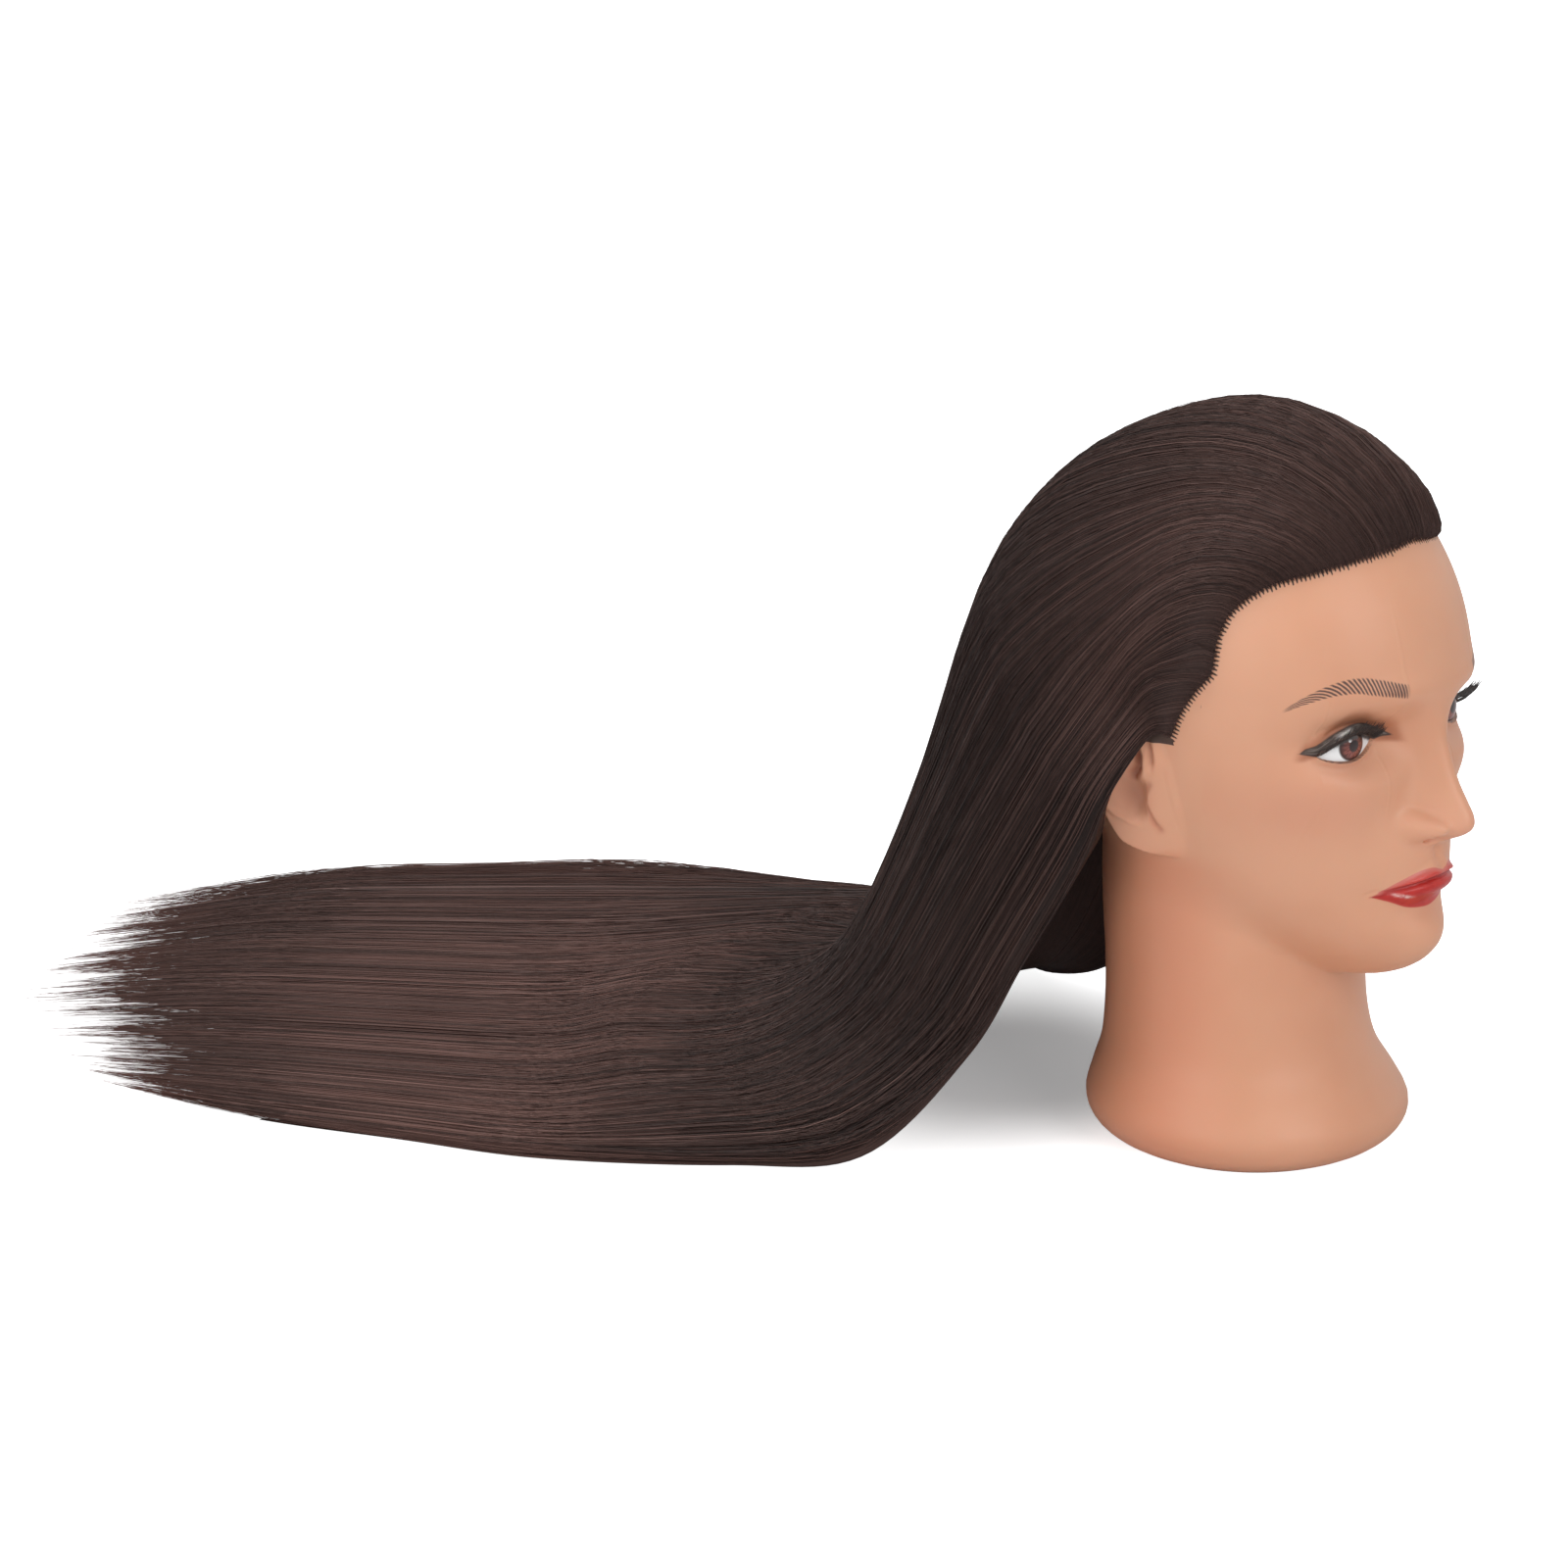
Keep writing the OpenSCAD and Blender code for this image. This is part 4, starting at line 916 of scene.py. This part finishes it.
def strandAt(keys, t):   # smooth lines through the keys, rows along and columns across
    n = keys.shape[1]
    q = t * (n - 1)
    i = np.minimum(q.astype(int), n - 2)
    f = (q - i)[:, None, None]
    slope = np.concatenate([keys[:, 1:2] - keys[:, :1], (keys[:, 2:] - keys[:, :-2]) / 2,
                            keys[:, -1:] - keys[:, -2:-1]], 1)
    ends = [k.transpose(1, 0, 2) for k in (keys[:, i], keys[:, i + 1], slope[:, i], slope[:, i + 1])]
    return between(f, *ends)


def offHead(p, gap):   # keeps hair off the head and the ears
    z = np.minimum(p[..., 2], 296)
    a, r = np.arctan2(p[..., 0], -p[..., 1]), np.hypot(p[..., 0], p[..., 1])
    bare = bareRadius(a, z)
    mound = earMound(-bare * np.cos(a), z)
    low, high = hair["clearFrom"], hair["clearTo"]
    inReach = ease((z - low) / 30) * ease((high - z) / 10)
    soft = np.clip(mound * 1.25, 0.05, 5)
    behind = ease((np.degrees(np.abs(a)) - 50) / 15)
    k = 1 + (softMax(r, bare + mound + gap, soft) / np.maximum(r, 1e-6) - 1) * inReach * behind
    k = np.maximum(k, np.where((z > low) & (z < high), (bare + gap) / np.maximum(r, 1e-6), 1))
    return np.concatenate([p[..., :2] * k[..., None], p[..., 2:]], -1)


def layerAt(u, t):   # outer face, inner face and front edge of the hair
    keysOuter, front = keyPoints(u, False)
    keysInner, _ = keyPoints(u, True)
    grids = strandAt(keysOuter, t), strandAt(keysInner, t), front[None]
    return [offHead(grid, gap) for grid, gap in zip(grids, hair["headGap"])]


places = np.linspace(-1, 1, 801)   # strands drift towards the right edge while they pass the crown
pace = np.minimum((1 + places) / 0.22, 1) * (1 - ease((places + 0.6) / 0.5)) + 0.02 * (1 - places**2) + 1e-4
lean = np.concatenate([[0], np.cumsum(2 * np.diff(places) / (pace[1:] + pace[:-1]))])


def sweptAt(u, t, way=1):   # where the strands numbered u lie at t, or which ones lie at u (way -1)
    drift = hair["drift"] * (ease((t - 0.05) / 0.38) - 0.5) - hair["driftBack"] * ease((t - 0.46) / 0.13)
    u = np.broadcast_to(u, (len(t), np.shape(u)[-1]))
    return np.interp(np.interp(u, places, lean) - way * drift[:, None], lean, places)


def lockRelief(u, t):   # soft ridges of combed locks, in mm, for a grid of strand numbers
    fade = ease((t[:, None] - 0.02) / 0.25)
    broad = 0.3 * wave(u * 55 + 0.5 * wave(t[:, None] * 5, 2.0), 1.0)
    fine = 0.16 * wave(u * 150 + 0.6 * wave(t[:, None] * 8, 5.0), 3.0)
    return (broad + fine) * fade * (0.4 + 0.8 * ease((t[:, None] - 0.45) / 0.3))


def paintedHairLight(maker, along):   # painted light along the strands: a painted sheen on the crown, painted shade where the hair turns behind the ear, and paler on the table, which lifts the shadow the head casts there
    greys = ((0, 0.42), (0.1, 0.50), (0.2, 0.35), (0.34, 0.19), (0.5, 0.235), (0.6, 0.36), (0.7, 0.80),
             (0.82, 0.78), (0.9, 0.56), (1, 0.48))
    return 2.6 * maker.ramp(along, *((at, (grey, grey, grey)) for at, grey in greys))


hairFibre, maker, shader = finish("hairFibre", Roughness=0.5, Specular_IOR_Level=0.3)
tone, along = maker.value("tone"), maker.value("along")
place = maker.place()
crimp = maker.noise(place, 520.0, 2.0, 0.6)
colour = maker.ramp(
    tone, (0.12, (0.014, 0.0066, 0.0054)), (0.36, (0.032, 0.0155, 0.0125)), (0.58, (0.058, 0.0285, 0.0230)),
    (0.8, (0.100, 0.0500, 0.0410)), (0.96, (0.140, 0.0820, 0.0690)))
colour = maker.layers(colour, (maker.ease(crimp, 0.3, 0.75) * 0.2, (0.10, 0.058, 0.050)),
                      (maker.ease(along, 0.93, 1.0) * 0.7, (0.13, 0.050, 0.038)))
# brightness along the strands is painted light: sheen on the crown, shade behind the ear, lifted shadow on
# the table
feed(maker, shader, Base_Color=maker.scaled(colour, paintedHairLight(maker, along)), Roughness=0.46 + 0.16 * crimp)

hairUnder, maker, shader = finish("hairUnder", Roughness=0.55, Specular_IOR_Level=0.25)
across, along, strandAlong = maker.value("acrossHair"), maker.value("alongHair"), maker.value("alongStrand")
fine = maker.cloud(across * 2.6, along * 0.009, 4.0, 0.65)
broad = maker.cloud(across * 0.16, along * 0.002, 2.0, z=3.0)
crimp = maker.cloud(across * 1.2, along * 0.35, 2.0)
colour = maker.ramp(
    0.62 * fine + 0.38 * broad, (0.2, (0.010, 0.0048, 0.0041)), (0.48, (0.028, 0.0138, 0.0112)),
    (0.66, (0.055, 0.0272, 0.0220)), (0.85, (0.100, 0.0500, 0.0390)))
# the same painted light and shade along the strands as on the fibres
feed(maker, shader, Base_Color=maker.scaled(colour, paintedHairLight(maker, strandAlong)),
     Roughness=0.5 + 0.2 * crimp, Normal=maker.bump(fine + 0.2 * crimp, 0.5, 0.0005))

bands = ("hair_right_edge", "hair_right_side", "hair_right_crown", "hair_middle", "hair_left_crown",
         "hair_left_side", "hair_left_edge")
bandEnds = (-1, -0.72, -0.43, -0.14, 0.14, 0.43, 0.72, 1)
guideT = np.linspace(0, 1, hair["guideRows"])
wholeOuter, wholeInner, wholeFront = layerAt(np.linspace(-1, 1, 401), guideT)


def readRows(grid, q):   # reads each row of a grid at its own places q, counted in columns
    i = np.clip(q.astype(int), 0, grid.shape[1] - 2)
    rows = np.arange(len(grid))[:, None]
    return grid[rows, i] + (grid[rows, i + 1] - grid[rows, i]) * (q - i)[..., None]


def pickAcross(grid, u):   # the whole hair at the places u, from -1 to 1
    return readRows(grid, (u + 1) / 2 * (grid.shape[1] - 1))


def unevenEnds(grid, u):   # draws some columns back, so that the sheet ends in locks
    row = np.arange(len(grid), dtype=float)[:, None]
    bend = 0.8 * len(grid)
    spike = ease(0.5 + 0.9 * wave(u * 34, 4.0)) * 0.6 + 0.4 * ease(0.5 + 0.8 * wave(u * 105, 6.0))
    spike = spike * ease(np.minimum(u - u.min(), u.max() - u) / 0.05)   # none at a seam
    q = np.where(row > bend, bend + (row - bend) * (1 - hair["notch"] * spike), row)
    return readRows(grid.transpose(1, 0, 2), q.T).transpose(1, 0, 2)


for number, (node, first, last) in enumerate(zip(bands, bandEnds[:-1], bandEnds[1:])):
    title = titled(node)
    u = np.linspace(first, last, hair["sheetColumns"])[::-1]
    t = np.linspace(hair["sheetFrom"], hair["sheetTo"] - hair["sheetBow"] * ((first + last) / 2) ** 2,
                    hair["sheetRows"])
    outer, inner, _ = layerAt(u, t)
    outer, inner = unevenEnds(outer, u), unevenEnds(inner, u)
    normal = unit(outer - inner)
    tips = 1 - 0.95 * ease((t - t[-1] + 0.13) / 0.12)
    roots = 0.06 + 0.94 * ease((t - hair["sheetFrom"]) / 0.05)
    sides = 0.12 + 0.88 * ease((1 - np.abs(u)) / 0.07)
    thin = (tips * roots)[:, None, None]
    thin = thin * sides[None, :, None] ** ease((t - 0.6) / 0.15)[:, None, None]
    strandPlace = sweptAt(u, t, -1)
    outer = inner + (outer - inner) * thin + normal * (lockRelief(strandPlace, t)[..., None] - 0.7) * thin
    outer[..., 2] = np.maximum(outer[..., 2], hair["outerLow"])
    travel = lengthAlong(outer.mean(1))
    sheet = slab("under" + title, outer, inner, hairUnder, {
        "acrossHair": strandPlace * hair["grainAcross"], "alongHair": travel[:, None] + 0 * u,
        "alongStrand": t[:, None] + 0 * u})
    own = np.linspace(first, last, hair["guideColumns"])[::-1]
    spots = sweptAt(own, guideT)
    outer, inner = pickAcross(wholeOuter, spots), pickAcross(wholeInner, spots)
    front = pickAcross(wholeFront, spots[:1])
    outer = outer + unit(outer - inner) * lockRelief(own[None], guideT)[..., None]
    starts = front, front - 0.2 * unit(front - centre)
    outer, inner = [np.concatenate([begin, grid, grid[-1:] + (grid[-1:] - grid[-2:-1]) * hair["wisps"]])
                    for begin, grid in zip(starts, (outer, inner))]
    for grid, low in zip((outer, inner), hair["guideLow"]):
        grid[-hair["lowRows"]:, :, 2] = np.maximum(grid[-hair["lowRows"]:, :, 2], low)
    flowV = np.concatenate([[0], 0.012 + 0.976 * guideT, [1.0]])
    deep = 1.0 if node.endswith("edge") else strandSettings["deep"]   # an edge is filled right through
    strands = growStrands("strands" + title, outer[:, ::-1], inner[:, ::-1], flowV,
                          {"deep": deep, "seed": 40 + number}, hairFibre)
    for piece in (sheet, strands):
        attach(piece, "root")
        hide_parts(node)
    print(title, len(sheet.data.polygons) * 2, "+", len(strands.data.polygons) * 2, "triangles")

# foam, plug and socket
foam, maker, shader = finish("pouredFoam", Roughness=0.9)
place = maker.place()
cells = maker.node("ShaderNodeTexVoronoi", {}, {"Vector": place, "Scale": 700.0})
feed(maker, shader, Base_Color=maker.blend(maker.noise(place, 60.0), (0.66, 0.60, 0.44), (0.78, 0.73, 0.58)),
     Normal=maker.bump(cells, 0.5, 0.0006))
plugPlastic, maker, shader = finish("plugPlastic", Roughness=0.5)
place = maker.place()
grain = maker.noise(place, 1400.0, 2.0)
cast = maker.blend(maker.noise(place, 40.0), (0.055, 0.052, 0.052), (0.075, 0.071, 0.07))
feed(maker, shader, Base_Color=cast, Roughness=0.42 + 0.2 * grain, Normal=maker.bump(grain, 0.25, 0.0003))
socketPlastic, maker, shader = finish("socketPlastic", Roughness=0.4)
place = maker.place()
drawn = maker.node("ShaderNodeMapping", {}, {"Vector": place, "Scale": (1, 1, 0.12)})
scuffs = maker.noise(drawn, 700.0, 4.0, 0.6)
worn = maker.blend(maker.ease(scuffs, 0.4, 0.8), (0.018, 0.018, 0.02), (0.05, 0.05, 0.055))
feed(maker, shader, Base_Color=worn, Roughness=0.32 + 0.25 * scuffs, Normal=maker.bump(scuffs, 0.2, 0.0003))
for node, material in (("foam_core", foam), ("base_plug", plugPlastic), ("clamp_socket", socketPlastic)):
    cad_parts[node].data.materials.clear()
    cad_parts[node].data.materials.append(material)
print("foam, plug and socket finished")

# table and backdrop
tableMesh = bpy.data.meshes.new("table")
corners = [(x * studio["tableHalf"], y * studio["tableHalf"], -0.0002)
           for x, y in ((-1, -1), (1, -1), (1, 1), (-1, 1))]
tableMesh.from_pydata(corners, [], [(0, 1, 2, 3)])
tableTop = bpy.data.objects.new("table", tableMesh)
scene.collection.objects.link(tableTop)
whiteTable, maker, shader = finish("whiteTable", Base_Color=(0.80, 0.80, 0.81, 1), Roughness=0.9)
place = maker.place()
away = maker.node("ShaderNodeVectorMath", {"operation": "DISTANCE"}, {0: place, 1: studio["glowFrom"]},
                  out="Value")
glow = maker.node("ShaderNodeEmission", {}, {"Color": maker.ease(away, 0.04, 0.14, 0.27, 1.0),
                                             "Strength": studio["backdrop"]})
lit = maker.node("ShaderNodeAddShader", {}, {0: Wire(maker, shader.outputs[0]), 1: glow})
seen = maker.node("ShaderNodeLightPath", out="Is Camera Ray")
mixed = maker.node("ShaderNodeMixShader", {}, {0: seen, 1: Wire(maker, shader.outputs[0]), 2: lit})
maker.tree.links.new(mixed.socket, maker.tree.nodes["Material Output"].inputs["Surface"])
tableMesh.materials.append(whiteTable)

world = bpy.data.worlds.new("studio")
scene.world = world
world.use_nodes = True
maker = Maker(world.node_tree)
seen = [maker.node("ShaderNodeLightPath", out=f"Is {kind} Ray")
        for kind in ("Camera", "Glossy", "Transmission")]
soft, bright = [maker.node("ShaderNodeBackground", {}, {"Color": (1, 1, 1, 1), "Strength": strength})
                for strength in (studio["skyLight"], studio["backdrop"])]
shows = maker.node("ShaderNodeClamp", {}, {0: seen[0] + seen[1] + seen[2]})
mixed = maker.node("ShaderNodeMixShader", {}, {0: shows, 1: soft, 2: bright})
maker.tree.links.new(mixed.socket, maker.tree.nodes["World Output"].inputs["Surface"])
print("table and light set")
